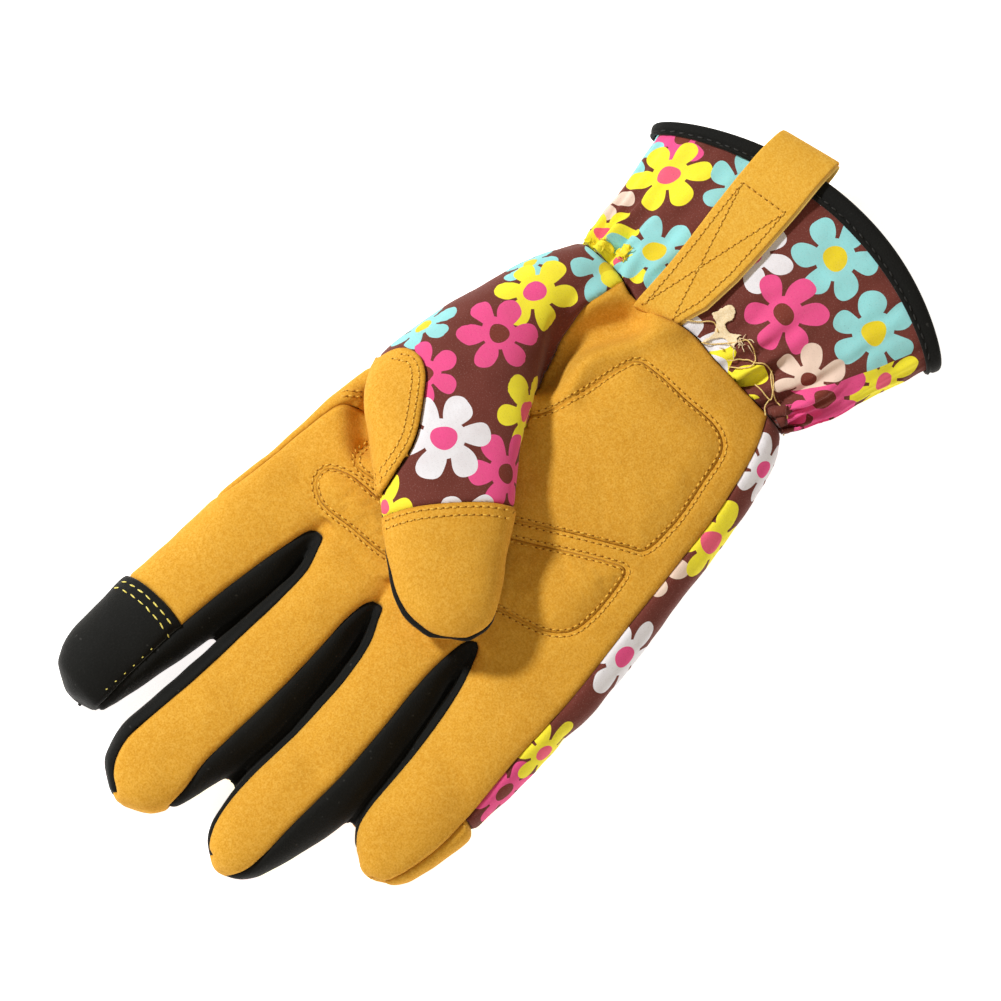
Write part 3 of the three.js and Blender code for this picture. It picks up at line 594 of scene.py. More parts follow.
def make_skin():
    """One closed skin round hand, fingers and thumb."""
    joined = bmesh.new()
    bodies = [hand_rings(), thumb_rings(), *(finger_rings(rows) for rows in FINGERS.values())]
    bodies += [web_rings(k) for k in range(len(CROTCHES))]
    for rings in bodies:
        absorb(joined, tube(rings))
    skin = to_object(joined, "skin")
    remesh = skin.modifiers.new("remesh", "REMESH")
    remesh.mode = "VOXEL"
    remesh.voxel_size = SKIN_VOXEL
    smooth = skin.modifiers.new("smooth", "SMOOTH")
    smooth.factor = 0.5
    smooth.iterations = 5
    mesh = finished_mesh(skin)
    shape_folds(mesh)
    return mesh


def prism(outline, low, high=FAR, slope=(0, 0)):
    """A cutter: an upright prism over an outline in plan. Its faces carry material 1, so a cut can be told.

    Its ends may rise by a slope along x and y.
    """
    bm = bmesh.new()
    corners = [bm.verts.new((x, y, low)) for x, y in outline]
    floor = bm.faces.new(corners)
    raised = bmesh.ops.extrude_face_region(bm, geom=[floor], use_keep_orig=True)["geom"]
    top = [g for g in raised if isinstance(g, bmesh.types.BMVert)]
    bmesh.ops.translate(bm, verts=top, vec=(0, 0, high - low))
    for v in bm.verts:
        v.co.z += slope[0] * v.co.x + slope[1] * v.co.y
    bmesh.ops.recalc_face_normals(bm, faces=bm.faces)
    bmesh.ops.triangulate(bm, faces=bm.faces)
    for face in bm.faces:
        face.material_index = 1
    return to_object(bm, "cutter")


def carve(mesh, *cuts):
    """A copy of a mesh, kept within or outside each cutter in turn."""
    held = bpy.data.objects.new("carved", mesh.copy())
    bpy.context.scene.collection.objects.link(held)
    for operation, cutter in cuts:
        cut = held.modifiers.new("cut", "BOOLEAN")
        cut.operation = operation
        cut.object = cutter
        cut.solver = "MANIFOLD"
    return finished_mesh(held)


def within(cutter):
    return ("INTERSECT", cutter)


def outside(cutter):
    return ("DIFFERENCE", cutter)


def open_patch(mesh):
    """The part of a carved solid that belongs to the skin, as an open sheet without crumbs."""
    bm = bmesh.new()
    bm.from_mesh(mesh)
    bmesh.ops.delete(bm, geom=[f for f in bm.faces if f.material_index == 1], context="FACES")
    bmesh.ops.remove_doubles(bm, verts=bm.verts, dist=CUT_WELD)
    unseen = set(bm.faces)
    islands = []
    while unseen:
        island, border = set(), {unseen.pop()}
        while border:
            face = border.pop()
            island.add(face)
            for edge in face.edges:
                for other in edge.link_faces:
                    if other in unseen:
                        unseen.discard(other)
                        border.add(other)
        islands.append(island)
    keep = max(islands, key=len)
    bmesh.ops.delete(bm, geom=[f for i in islands if i is not keep for f in i], context="FACES")
    loose = [v for v in bm.verts if not v.link_faces]
    bmesh.ops.delete(bm, geom=loose, context="VERTS")
    settle_rim(bm)
    bm.normal_update()
    return bm


def settle_rim(bm):
    """Clears the slivers that a cut leaves along a sheet's edge, and evens the edge out."""
    bmesh.ops.remove_doubles(bm, verts=[v for v in bm.verts if v.is_boundary], dist=RIM_WELD)
    rim = [v for v in bm.verts if v.is_boundary]
    tree = tree_of([v.co for v in rim])
    targets = {}
    for v in bm.verts:
        if not v.is_boundary:
            _, k, gap = tree.find(v.co)
            if gap < RIM_NEAR:
                targets[v] = rim[k]
    bmesh.ops.weld_verts(bm, targetmap=targets)
    bmesh.ops.dissolve_degenerate(bm, edges=bm.edges, dist=SLIVER)
    for _ in range(RIM_ROUNDS):
        moves = {}
        for v in bm.verts:
            if v.is_boundary:
                ends = [e.other_vert(v).co for e in v.link_edges if e.is_boundary]
                if len(ends) == 2 and (ends[0] - v.co).angle(v.co - ends[1], 3) < RIM_CORNER:
                    moves[v] = (v.co * 2 + ends[0] + ends[1]) / 4
        for v, co in moves.items():
            v.co = co
    near = [v for v in bm.verts
            if not v.is_boundary and any(e.other_vert(v).is_boundary for e in v.link_edges)]
    for _ in range(RIM_ROUNDS):
        relax(bm, near)
    for _ in range(TURNED_ROUNDS):
        bm.normal_update()
        turned = [f for f in bm.faces if f.normal.dot(skin_direction(f.calc_center_median())) < TURNED]
        relax(bm, list({v for f in turned for v in f.verts}), TURNED_FACTOR)


def skin_direction(co):
    return Vector(skin_normals[skin_tree.find(co)[1]])


def tree_of(points):
    tree = KDTree(len(points))
    for k, co in enumerate(points):
        tree.insert(co, k)
    tree.balance()
    return tree


def points_of(bm):
    co = np.array([v.co for v in bm.verts])
    normal = np.array([v.normal for v in bm.verts])
    return co, normal


def outward(bm):
    """The skin's own directions at a sheet's points, which no cut disturbs."""
    return np.array([skin_direction(v.co) for v in bm.verts])


def place_points(bm, co):
    for v, p in zip(bm.verts, co):
        v.co = p
    bm.normal_update()


def from_edge(bm, skip=None):
    """Each point's distance from the sheet's edge. Edge points for which skip() is true aren't counted."""
    rim = [v.co for v in bm.verts if v.is_boundary and not (skip and skip(v.co))]
    if not rim:
        return np.full(len(bm.verts), 99.0)
    tree = tree_of(rim)
    return np.array([tree.find(v.co)[2] for v in bm.verts])


def settle_edges(bm, lap=None):
    """Rolls a panel's edges into its seams, apart from those beside the line lap, which stand proud."""
    skip = None
    if lap is not None:
        flat = tree_of([(x, y, 0) for x, y in lap])

        def skip(co):
            return flat.find((co.x, co.y, 0))[2] < LAP_NEAR

    edge = from_edge(bm, skip)
    co, _ = points_of(bm)
    normal = outward(bm)
    move = -SEAM_ROLL * (1 - np.clip(edge / SEAM_REACH, 0, 1)) ** 2
    if lap is not None:
        near = distance_to(lap, co[:, 0], co[:, 1])
        move += LAP * (1 - ease(near / LAP_REACH)) * ease(edge / LAP_RISE) * ease(co[:, 2] / LAP_FOOT)
        move -= LAP_DIP * (1 - np.clip(near / LAP_DIP_REACH, 0, 1)) ** 2
    place_points(bm, co + normal * move[:, None])
    return from_edge(bm)


def press_grooves(bm, rows):
    """The valley along rows of stitches, which run in plan."""
    co, normal = points_of(bm)
    near = np.full(len(co), np.inf)
    for row in rows:
        near = np.minimum(near, distance_to(row, co[:, 0], co[:, 1]))
    move = -GROOVE * np.exp(-((near / GROOVE_WIDTH) ** 2)) * (normal[:, 2] > 0)
    place_points(bm, co + normal * move[:, None])


# Shader maths: a wire is one socket of a material, and arithmetic on it adds nodes.
class Wire:
    def __init__(self, paint, socket):
        self.paint = paint
        self.socket = socket

    def math(self, operation, *others):
        return self.paint.add("ShaderNodeMath", {"operation": operation}, dict(enumerate((self, *others))))

    def swapped(self, operation, other):
        return self.paint.add("ShaderNodeMath", {"operation": operation}, {0: other, 1: self})

    def __add__(self, other):
        return self.math("ADD", other)

    def __sub__(self, other):
        return self.math("SUBTRACT", other)

    def __rsub__(self, other):
        return self.swapped("SUBTRACT", other)

    def __mul__(self, other):
        return self.math("MULTIPLY", other)

    def __truediv__(self, other):
        return self.math("DIVIDE", other)

    def __lt__(self, other):
        return self.math("LESS_THAN", other)

    def __gt__(self, other):
        return self.math("GREATER_THAN", other)

    __radd__ = __add__
    __rmul__ = __mul__


class Paint:
    """One material and its nodes."""

    def __init__(self, name):
        self.material = bpy.data.materials.new(name)
        self.material.use_nodes = True
        self.nodes = self.material.node_tree.nodes
        self.links = self.material.node_tree.links
        self.shader = self.nodes["Principled BSDF"]

    def add(self, kind, settings=None, sockets=None, output=0):
        """Adds a node of any type: its settings first, then the values or wires of its sockets."""
        node = self.nodes.new(kind)
        for key, value in (settings or {}).items():
            setattr(node, key, value)
        for key, value in (sockets or {}).items():
            self.feed(node.inputs[key], value)
        return Wire(self, node.outputs[output])

    def feed(self, socket, value):
        if isinstance(value, Wire):
            self.links.new(value.socket, socket)
        else:
            socket.default_value = value

    def finish(self, **sockets):
        """Feeds the shader: names with underscores for spaces."""
        for key, value in sockets.items():
            self.feed(self.shader.inputs[key.replace("_", " ")], value)
        return self.material

    def mix(self, share, a, b, kind="MIX"):
        settings = {"data_type": "RGBA", "blend_type": kind}
        return self.add("ShaderNodeMix", settings, {0: share, 6: a, 7: b}, 2)

    def place(self):
        return self.add("ShaderNodeTexCoord", output="Object")

    def attribute(self, name, output="Vector"):
        return self.add("ShaderNodeAttribute", {"attribute_name": name}, output=output)

    def noise(self, place, scale, detail=2.0, rough=0.5):
        sockets = {"Vector": place, "Scale": scale, "Detail": detail, "Roughness": rough}
        return self.add("ShaderNodeTexNoise", None, sockets, "Fac")

    def ramp(self, value, low, high):
        sockets = {"Value": value, "From Min": low, "From Max": high}
        return self.add("ShaderNodeMapRange", {"clamp": True}, sockets)

    def bump(self, height, strength, distance):
        sockets = {"Height": height, "Strength": strength, "Distance": distance}
        return self.add("ShaderNodeBump", None, sockets)


def colour(red, green, blue):
    """A display colour, from 0 to 255, as the linear one that shaders use."""
    def linear(c):
        c /= 255
        return c / 12.92 if c <= 0.04045 else ((c + 0.055) / 1.055) ** 2.4
    return (linear(red), linear(green), linear(blue), 1)


SUEDE = colour(219, 162, 54)
SUEDE_DEEP = colour(194, 132, 34)
SUEDE_PALE = colour(236, 187, 86)
GROUND = colour(106, 50, 42)
PINK = colour(238, 84, 148)
YELLOW = colour(252, 240, 56)
BLUE = colour(150, 222, 226)
WHITE = colour(238, 238, 246)
CREAM = colour(238, 214, 198)
ROSE = colour(240, 98, 130)
GOLD = colour(236, 214, 40)
UMBER = colour(118, 52, 40)

FULL_TURN = 6.28  # radians


def suede_paint(name, base=SUEDE, deep=SUEDE_DEEP, pale=SUEDE_PALE, cut=(SUEDE_DEEP, 0.5)):
    """Napped suede: short fibres, slow mottling, and the tone cut near its edges, by default darker: painted
    shade and grime in the seams' creases.
    """
    p = Paint(name)
    place = p.place()
    mottle = p.noise(place, 60.0, 3.0, 0.6)
    nap = p.noise(place, 800.0, 3.0, 0.7)
    fibre = p.noise(place, 2200.0, 2.0, 0.6)
    body = p.mix(p.ramp(mottle, 0.6, 0.3) * 0.3, base, deep)
    body = p.mix(p.ramp(nap, 0.42, 0.72) * 0.5, body, pale)
    body = p.mix(p.ramp(fibre, 0.55, 0.25) * 0.7, body, deep)
    body = p.mix(p.ramp(fibre, 0.5, 0.8) * 0.5, body, pale)
    # Within about a millimetre of the edge the suede takes the tone cut: by default darker, painted shade
    # and grime in the seams' creases
    edge = p.attribute("edge", "Fac")
    body = p.mix(p.ramp(edge, 1.1, 0.2) * cut[1], body, cut[0])
    bump = p.bump(nap * 0.6 + fibre * 0.4, 0.55, 0.0003)
    rough = p.ramp(nap, 0.2, 0.8) * 0.1 + 0.85
    return p.finish(Base_Color=body, Roughness=rough, Normal=bump, Sheen_Weight=0.1, Sheen_Roughness=0.5,
                    Sheen_Tint=(1, 0.7, 0.3, 1), Specular_IOR_Level=0.1)


def black_paint(name):
    """Fine stretch knit in black."""
    p = Paint(name)
    place = p.place()
    mottle = p.noise(place, 160.0, 3.0)
    knit = p.noise(place, 2200.0, 2.0, 0.7)
    lint = p.noise(place, 700.0, 1.0)
    body = p.mix(p.ramp(mottle, 0.3, 0.7), colour(6, 7, 6), colour(15, 16, 14))
    body = p.mix(p.ramp(knit, 0.5, 0.75) * 0.5, body, colour(28, 28, 27))
    body = p.mix(p.ramp(lint, 0.72, 0.8) * 0.3, body, colour(80, 80, 78))
    bump = p.bump(knit, 0.5, 0.00025)
    rough = p.ramp(mottle, 0.2, 0.8) * 0.12 + 0.72
    return p.finish(Base_Color=body, Roughness=rough, Normal=bump, Sheen_Weight=0.1, Sheen_Roughness=0.4,
                    Specular_IOR_Level=0.2)


def petals(p, place, x, y, radius, turn, ground, petal, centre):
    """One printed flower: six petals that widen outwards about a round centre.

    Its place and size are in millimetres.
    """
    local = p.add("ShaderNodeVectorMath", {"operation": "SUBTRACT"}, {0: place, 1: (x, y, 0)})
    parts = p.add("ShaderNodeSeparateXYZ", None, {0: local})
    up = Wire(p, parts.socket.node.outputs[1])
    reach = p.add("ShaderNodeVectorMath", {"operation": "LENGTH"}, {0: local}, "Value")
    angle = up.math("ARCTAN2", parts) + math.radians(turn)
    sixth = math.pi / 3
    folded = angle.math("FLOORED_MODULO", sixth) - sixth / 2
    along = reach * folded.math("COSINE")
    beside = reach * folded.math("SINE")
    long, wide = 0.4 * radius, 0.26 * radius
    ahead = (along - 0.6 * radius) / long
    across = beside / (wide * (1 + 0.35 * ahead))
    lobe = ahead * ahead + across * across < 1
    heart = reach < radius * 0.45
    shown = p.mix(lobe.math("MAXIMUM", heart), ground, petal)
    return p.mix(reach < radius * 0.26, shown, centre)


def scattered(p, place, ground, pitch=19.0):
    """The print where it isn't charted: flowers of mixed colours about one pitch apart."""
    cells = p.add("ShaderNodeTexVoronoi", {"voronoi_dimensions": "2D"},
                  {"Vector": place, "Scale": 1 / pitch, "Randomness": 0.45}, "Position")
    node = cells.socket.node
    local = p.add("ShaderNodeVectorMath", {"operation": "SUBTRACT"}, {0: place, 1: cells})
    pick = p.add("ShaderNodeSeparateColor", None, {0: Wire(p, node.outputs["Color"])})
    turn = Wire(p, pick.socket.node.outputs[1])
    ramp = p.add("ShaderNodeValToRGB", None, {0: pick})
    stops = ramp.socket.node.color_ramp
    stops.interpolation = "CONSTANT"
    stops.elements[0].color, stops.elements[1].color = PINK, CREAM
    stops.elements[1].position = 0.85
    for at, tone in ((0.25, YELLOW), (0.45, WHITE), (0.62, BLUE)):
        stops.elements.new(at).color = tone
    sockets = {0: local, "Angle": turn * FULL_TURN}
    turned = p.add("ShaderNodeVectorRotate", {"rotation_type": "Z_AXIS"}, sockets)
    heart = p.mix(p.ramp(pick, 0.2, 0.3), UMBER, ROSE)
    return petals(p, turned, 0, 0, 8.6, 0, ground, ramp, heart)


def cloth_paint(name, flowers, charted=None, folded=(), crease=(0, 0)):
    """Printed cotton: a brown ground with six-petal flowers, over a fine plain weave.

    The folded flowers are those past a crease, where x is below a slope times y plus an offset.
    """
    p = Paint(name)
    printed = p.attribute("print")
    wobble = p.add("ShaderNodeTexNoise", None, {"Vector": printed, "Scale": 0.09, "Detail": 1.0}, "Color")
    shift = p.add("ShaderNodeVectorMath", {"operation": "MULTIPLY_ADD"},
                  {0: wobble, 1: (3.4, 3.4, 0), 2: (-1.7, -1.7, 0)})
    place = p.add("ShaderNodeVectorMath", {"operation": "ADD"}, {0: printed, 1: shift})
    body = GROUND
    if charted:
        field = scattered(p, place, GROUND)
        parts = p.add("ShaderNodeSeparateXYZ", None, {0: printed})
        ahead = Wire(p, parts.socket.node.outputs[1])
        x_low, x_high, y_low, y_high = charted
        window = (parts > x_low) * (parts < x_high) * (ahead > y_low) * (ahead < y_high)
        body = p.mix(window, field, GROUND)
    past = body
    for x, y, radius, turn, petal, centre in flowers:
        body = petals(p, place, x, y, radius, turn, body, petal, centre)
    for x, y, radius, turn, petal, centre in folded:
        past = petals(p, place, x, y, radius, turn, past, petal, centre)
    if folded:
        body = p.mix(parts < ahead * crease[0] + crease[1], body, past)
    weave = p.add("ShaderNodeVectorMath", {"operation": "SCALE"}, {0: printed, "Scale": 2 * math.pi / 0.42})
    threads = p.add("ShaderNodeSeparateXYZ", None, {0: weave})
    over = threads.math("SINE") * Wire(p, threads.socket.node.outputs[1]).math("SINE")
    fleck = p.noise(printed, 2.6, 2.0, 0.7)
    fade = p.noise(printed, 0.12, 3.0, 0.6)
    body = p.mix(p.ramp(fleck, 0.58, 0.8) * 0.3, body, colour(214, 180, 172))
    body = p.mix(p.ramp(fleck, 0.42, 0.2) * 0.35, body, colour(54, 24, 20))
    body = p.mix(p.ramp(fade, 0.35, 0.7) * 0.12, body, colour(150, 92, 84))
    bump = p.bump(over * 0.5 + fleck, 0.35, 0.00012)
    rough = p.ramp(fade, 0.2, 0.8) * 0.1 + 0.78
    return p.finish(Base_Color=body, Roughness=rough, Normal=bump, Sheen_Weight=0.12, Sheen_Roughness=0.4,
                    Specular_IOR_Level=0.2)


def thread_paint(name, tone, dark):
    """Twisted sewing thread."""
    p = Paint(name)
    place = p.place()
    twist = p.noise(place, 3000.0, 1.0)
    worn = p.noise(place, 260.0, 2.0)
    body = p.mix(p.ramp(twist, 0.35, 0.65), dark, tone)
    body = p.mix(p.ramp(worn, 0.6, 0.75) * 0.4, body, dark)
    bump = p.bump(twist, 0.6, 0.0001)
    rough = p.ramp(worn, 0.2, 0.8) * 0.15 + 0.55
    return p.finish(Base_Color=body, Roughness=rough, Normal=bump)


# Flowers: x, y, radius, turn in degrees, petals, centre. The places and turns of most were worked out by
# casting rays at the photo's flowers, picked one by one, through this scene's camera.
THUMB_FLOWERS = (
    (41.2, -43.3, 8.4, 53, BLUE, GOLD),
    (31.6, -37.7, 10.8, 46, YELLOW, PINK),
    (28.6, -22.6, 10.4, 36, PINK, UMBER),
    (46.3, -11.1, 9.6, 23, BLUE, GOLD),
    (32.2, -1.3, 9.6, 7, PINK, UMBER),
    (6.1, -17.6, 11.2, 31, YELLOW, ROSE),
    (-1.4, -1.3, 11.0, 38, PINK, UMBER),
    (15.8, 5.6, 11.6, 34, WHITE, PINK),
    (-6.6, 17.2, 11.0, 40, WHITE, ROSE),
    (14.6, 31.0, 10.4, 42, YELLOW, ROSE),
    (24.6, -56.9, 10.4, 41, BLUE, GOLD),
    (19.8, -63.2, 10.4, 20, YELLOW, ROSE),
)
STRIP_FLOWERS = (
    (-39.5, 49.4, 9.2, 35, PINK, UMBER),
    (-37.8, 35.7, 9.2, 54, YELLOW, ROSE),
    (-32.7, 6.2, 10.8, 55, WHITE, PINK),
    (-19.5, -15.3, 9.5, 0, CREAM, UMBER),
    (-26.5, -29.9, 10.8, 45, YELLOW, ROSE),
    (-23.0, -51.9, 9.0, 18, WHITE, PINK),
)
CUFF_FLOWERS = (
    (42.8, -92.6, 9.0, 37, PINK, UMBER),
    (50.6, -81.8, 9.0, 50, BLUE, GOLD),
    (35.7, -83.8, 10.4, 42, YELLOW, ROSE),
    (44.6, -69.0, 8.5, 55, CREAM, UMBER),
    (33.5, -63.0, 7.6, 41, YELLOW, ROSE),
    (23.5, -60.5, 7.0, 25, YELLOW, ROSE),
    (21.3, -67.6, 10.4, 2, BLUE, GOLD),
    (20.0, -94.1, 9.6, 20, BLUE, GOLD),
    (4.3, -84.8, 9.8, 4, WHITE, PINK),
    (-9.6, -99.4, 11.0, 50, BLUE, GOLD),
    (-12.4, -81.1, 10.4, 45, PINK, UMBER),
    (-30.7, -94.5, 11.2, 6, BLUE, GOLD),
    (-28.6, -75.1, 9.0, 19, CREAM, UMBER),
    (-18.4, -57.6, 11.4, 15, YELLOW, ROSE),
    (-6.9, -57.8, 10.8, 10, WHITE, ROSE),
)
FOLDED_FLOWERS = (
    (-40.5, -110.0, 9.5, 28, ROSE, ROSE),
    (-41.9, -89.3, 9.6, 9, YELLOW, ROSE),
    (-35.4, -75.3, 10.8, 6, PINK, UMBER),
)
CUFF_CREASE = (0.4055, -1.06)

MATERIALS = {
    "suede": suede_paint("suede"),
    "strap": suede_paint("strap_suede", colour(233, 179, 65), colour(212, 150, 44),
                         colour(244, 199, 94), (colour(250, 212, 120), 0.9)),
    "black": black_paint("black_stretch"),
    "thumb_cloth": cloth_paint("thumb_cloth", THUMB_FLOWERS),
    "back_cloth": cloth_paint("back_cloth", STRIP_FLOWERS, (-47, -5, -70, 62)),
    "cuff_cloth": cloth_paint("cuff_cloth", CUFF_FLOWERS, (-60, 58, -115, -50), FOLDED_FLOWERS, CUFF_CREASE),
    "tan_thread": thread_paint("tan_thread", colour(240, 194, 74), colour(204, 150, 42)),
    "pale_thread": thread_paint("pale_thread", colour(246, 222, 150), colour(214, 172, 96)),
    "cream_thread": thread_paint("cream_thread", colour(244, 226, 192), colour(232, 208, 164)),
    "gold_thread": thread_paint("gold_thread", colour(252, 238, 48), colour(240, 212, 28)),
    "yellow_thread": thread_paint("yellow_thread", colour(250, 240, 140), colour(214, 196, 70)),
    "black_thread": thread_paint("black_thread", colour(40, 40, 40), colour(12, 12, 12)),
    # Needle holes: painted shade, dark suede on flat discs where the holes sink in
    "hole_shade": suede_paint("hole_shade", colour(138, 86, 20), colour(100, 60, 12),
                               colour(156, 102, 30)),
}
SLOTS = {
    **dict.fromkeys(("suede", "strap", "tan_thread", "hole_shade"), "suede"),
    **dict.fromkeys(("black", "yellow_thread", "black_thread"), "black_stretch"),
    **dict.fromkeys(("thumb_cloth", "back_cloth", "cuff_cloth"), "printed_cloth"),
    **dict.fromkeys(("pale_thread", "cream_thread", "gold_thread"), "printed_cloth"),
}


def show(name, bm, finish, nodes=(), wall=None, edge=None, printed=None):
    """Puts a finished piece on the glove's one body, in metres in the object's frame."""
    for v in bm.verts:
        v.co = (v.co + HAND_ORIGIN) * MM
    piece = to_object(bm, name)
    mesh = piece.data
    mesh.materials.clear()
    mesh.materials.append(MATERIALS[finish])
    mesh.polygons.foreach_set("material_index", np.zeros(len(mesh.polygons), np.int32))
    mesh.shade_smooth()
    # Each point's distance from the piece's edge, from which the suede paints its edge tone, such as the
    # painted shade along seams
    distance = np.full(len(mesh.vertices), NO_EDGE) if edge is None else edge
    mesh.attributes.new("edge", "FLOAT", "POINT").data.foreach_set("value", distance)
    if printed is not None:
        mesh.attributes.new("print", "FLOAT_VECTOR", "POINT").data.foreach_set("vector", printed.ravel())
    if wall:
        thick = piece.modifiers.new("wall", "SOLIDIFY")
        thick.thickness = wall * MM
        thick.offset = -1
    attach(piece, "root")
    if nodes:
        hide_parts(*nodes)
    return piece


def panel(name, mesh, finish, flat, area, lap=None, grooves=(), pattern=None):
    """One sewn panel of the glove: its part of the skin, edges settled, with its cloth's thickness."""
    bm = open_patch(mesh)
    if grooves:
        hollowed(bm, grooves)
        press_grooves(bm, grooves)
    edge = settle_edges(bm, lap)
    printed = pattern(*points_of(bm)) if pattern else None
    tops[name] = BVHTree.FromBMesh(bm)
    piece = show(name, bm, finish, (name,), CLOTH, edge, printed)
    return piece


tops = {}  # the outer faces of the panels, for what is sewn on them


def on_surface(names, path):
    """Points of a path in plan dropped on the named panels, and the panels' normals there."""
    places, normals = [], []
    for x, y in path:
        best = None
        for name in names:
            hit, normal, _, _ = tops[name].ray_cast(Vector((x, y, ABOVE_ALL)), Vector((0, 0, -1)))
            if hit and (best is None or hit.z > best[0].z):
                best = (hit, normal)
        places.append(None if best is None else best[0])
        normals.append(None if best is None else best[1])
    return places, normals


def copies(template, matrices):
    """One piece made of many copies of a small one."""
    co = np.array([v.co for v in template.verts])
    faces = [[v.index for v in f.verts] for f in template.faces]
    template.free()
    turned = [co @ np.array(m.to_3x3()).T + np.array(m.translation) for m in matrices]
    mesh = bpy.data.meshes.new("copies")
    counted = [[i + k * len(co) for i in face] for k in range(len(turned)) for face in faces]
    mesh.from_pydata(np.vstack(turned), [], counted)
    bm = bmesh.new()
    bm.from_mesh(mesh)
    bpy.data.meshes.remove(mesh)
    return bm


def bead():
    """A ball to be flattened into a stitch or a needle hole."""
    ball = bmesh.new()
    bmesh.ops.create_uvsphere(ball, u_segments=8, v_segments=5, radius=1)
    return ball


def stitch_row(threads, holes, names, path, stitch=SUEDE_STITCH):
    """Stitches along a path in plan, each a small rounded bar on the cloth, with flat dark discs between:
    the needle holes' painted shade.
    """
    pitch, length, thick = stitch
    path = even_path(np.array(path, float), pitch)
    along = np.gradient(path, axis=0)
    for spot, normal, (dx, dy) in zip(*on_surface(names, path), along):
        if spot is None or normal.z < 0.15:
            continue
        ahead = Vector((dx, dy, 0)).normalized()
        ahead = (ahead - normal * ahead.dot(normal)).normalized()
        stand = Matrix((ahead, normal.cross(ahead), normal)).transposed().to_4x4()
        lean = Matrix.Rotation(random.uniform(-STITCH_LEAN, STITCH_LEAN), 4, "Z")
        spread = random.uniform(1 - STITCH_SPREAD, 1 + STITCH_SPREAD)
        size = Matrix.Diagonal((length / 2, thick / 2 * spread, thick / 2.4, 1))
        threads.append(Matrix.Translation(spot + normal * STITCH_LIFT) @ stand @ lean @ size)
        if holes is not None:
            # A needle hole: a flat disc of dark suede, painted shade where the hole sinks in
            disc = Matrix.Diagonal((0.28, 0.25, 0.06, 1))
            holes.append(Matrix.Translation(spot + ahead * (pitch / 2) + normal * 0.01) @ stand @ disc)


def sew():
    """All the rows of stitches, as in the photo, each thread colour a piece of its own."""
    random.seed(11)
    tan, yellow, black, holes = [], [], [], []
    for pad in PADS:
        for shift in (-PAD_ROWS[0], PAD_ROWS[1]):
            stitch_row(tan, holes, (pad, "palm_panel"), side_step(close(pad_path(pad)), shift))
    saddle_edge = smooth_path(SADDLE_ON_THUMB[:7], 1.0)
    for shift in SADDLE_ROWS:
        stitch_row(tan, holes, ("saddle_patch",), side_step(saddle_edge, shift))
    for tack in SADDLE_TACKS:
        stitch_row(tan, holes, ("saddle_patch",), tack)
    for shift in THUMB_CAP_ROWS:
        stitch_row(tan, holes, ("thumb_tip_cap",), side_step(cap_line(), shift))
    hem = smooth_path(INDEX_CAP_EDGE, 1.0)
    hem = hem[(hem[:, 0] > INDEX_ROW_X[0]) & (hem[:, 0] < INDEX_ROW_X[1])]
    for shift in INDEX_CAP_ROWS:
        stitch_row(yellow, None, ("index_tip_cap",), side_step(hem, shift), CAP_STITCH)
    stitch_row(yellow, None, ("index_tip_cap",), INDEX_SIDE_ROW, TIP_STITCH)
    stitch_row(tan, holes, ("little_tip_cap",), LITTLE_CAP_ROW)
    for row in loop_rows():
        stitch_row(tan, holes, ("pull_loop",), row)
    at = np.full(160, 1 - (HEM_INSET + 1.1) / CUFF_LENGTH)
    row = cuff_points(at, np.linspace(0.05, 0.95, 160) * np.pi, 0)[:, :2]
    stitch_row(black, None, ("hem_binding",), row, HEM_STITCH)
    pieces = (("tan_stitches", tan, "tan_thread"), ("yellow_stitches", yellow, "yellow_thread"),
              ("black_stitches", black, "black_thread"), ("needle_holes", holes, "hole_shade"))
    for name, places, finish in pieces:
        show(name, copies(bead(), places), finish)


def pad_path(name):
    return smooth_path(PADS[name], 1.0, True)


def cap_line():
    """The edge of the thumb's suede tip, in plan."""
    (x0, y0), (x1, y1) = CAP_SEAM
    span = np.array((x1 - x0, y1 - y0))
    ahead = span / np.linalg.norm(span)
    bow = np.array((ahead[1], -ahead[0])) * 0.8
    start, end = np.array((x0, y0)), np.array((x1, y1))
    return smooth_path((start - 25 * ahead, start - ahead, start + 8 * ahead + bow, end - 8 * ahead + bow,
                        end + ahead, end + 25 * ahead), 1.0)


def strand(points, radius):
    """A thread along a smooth path in space."""
    path = smooth_path(points, 0.5)
    ahead = np.gradient(path, axis=0)
    ahead /= np.linalg.norm(ahead, axis=1)[:, None]
    side = np.cross(ahead, (0, 0, 1))
    side /= np.linalg.norm(side, axis=1)[:, None] + 1e-9
    up = np.cross(side, ahead)
    angle = (np.arange(6) / 6 * 2 * np.pi)[None, :, None]
    return tube(path[:, None] + radius * (np.cos(angle) * side[:, None] + np.sin(angle) * up[:, None]))


def merged(parts, name, finish):
    """One piece made of several small bodies."""
    whole = bmesh.new()
    for part in parts:
        absorb(whole, part)
    show(name, whole, finish)


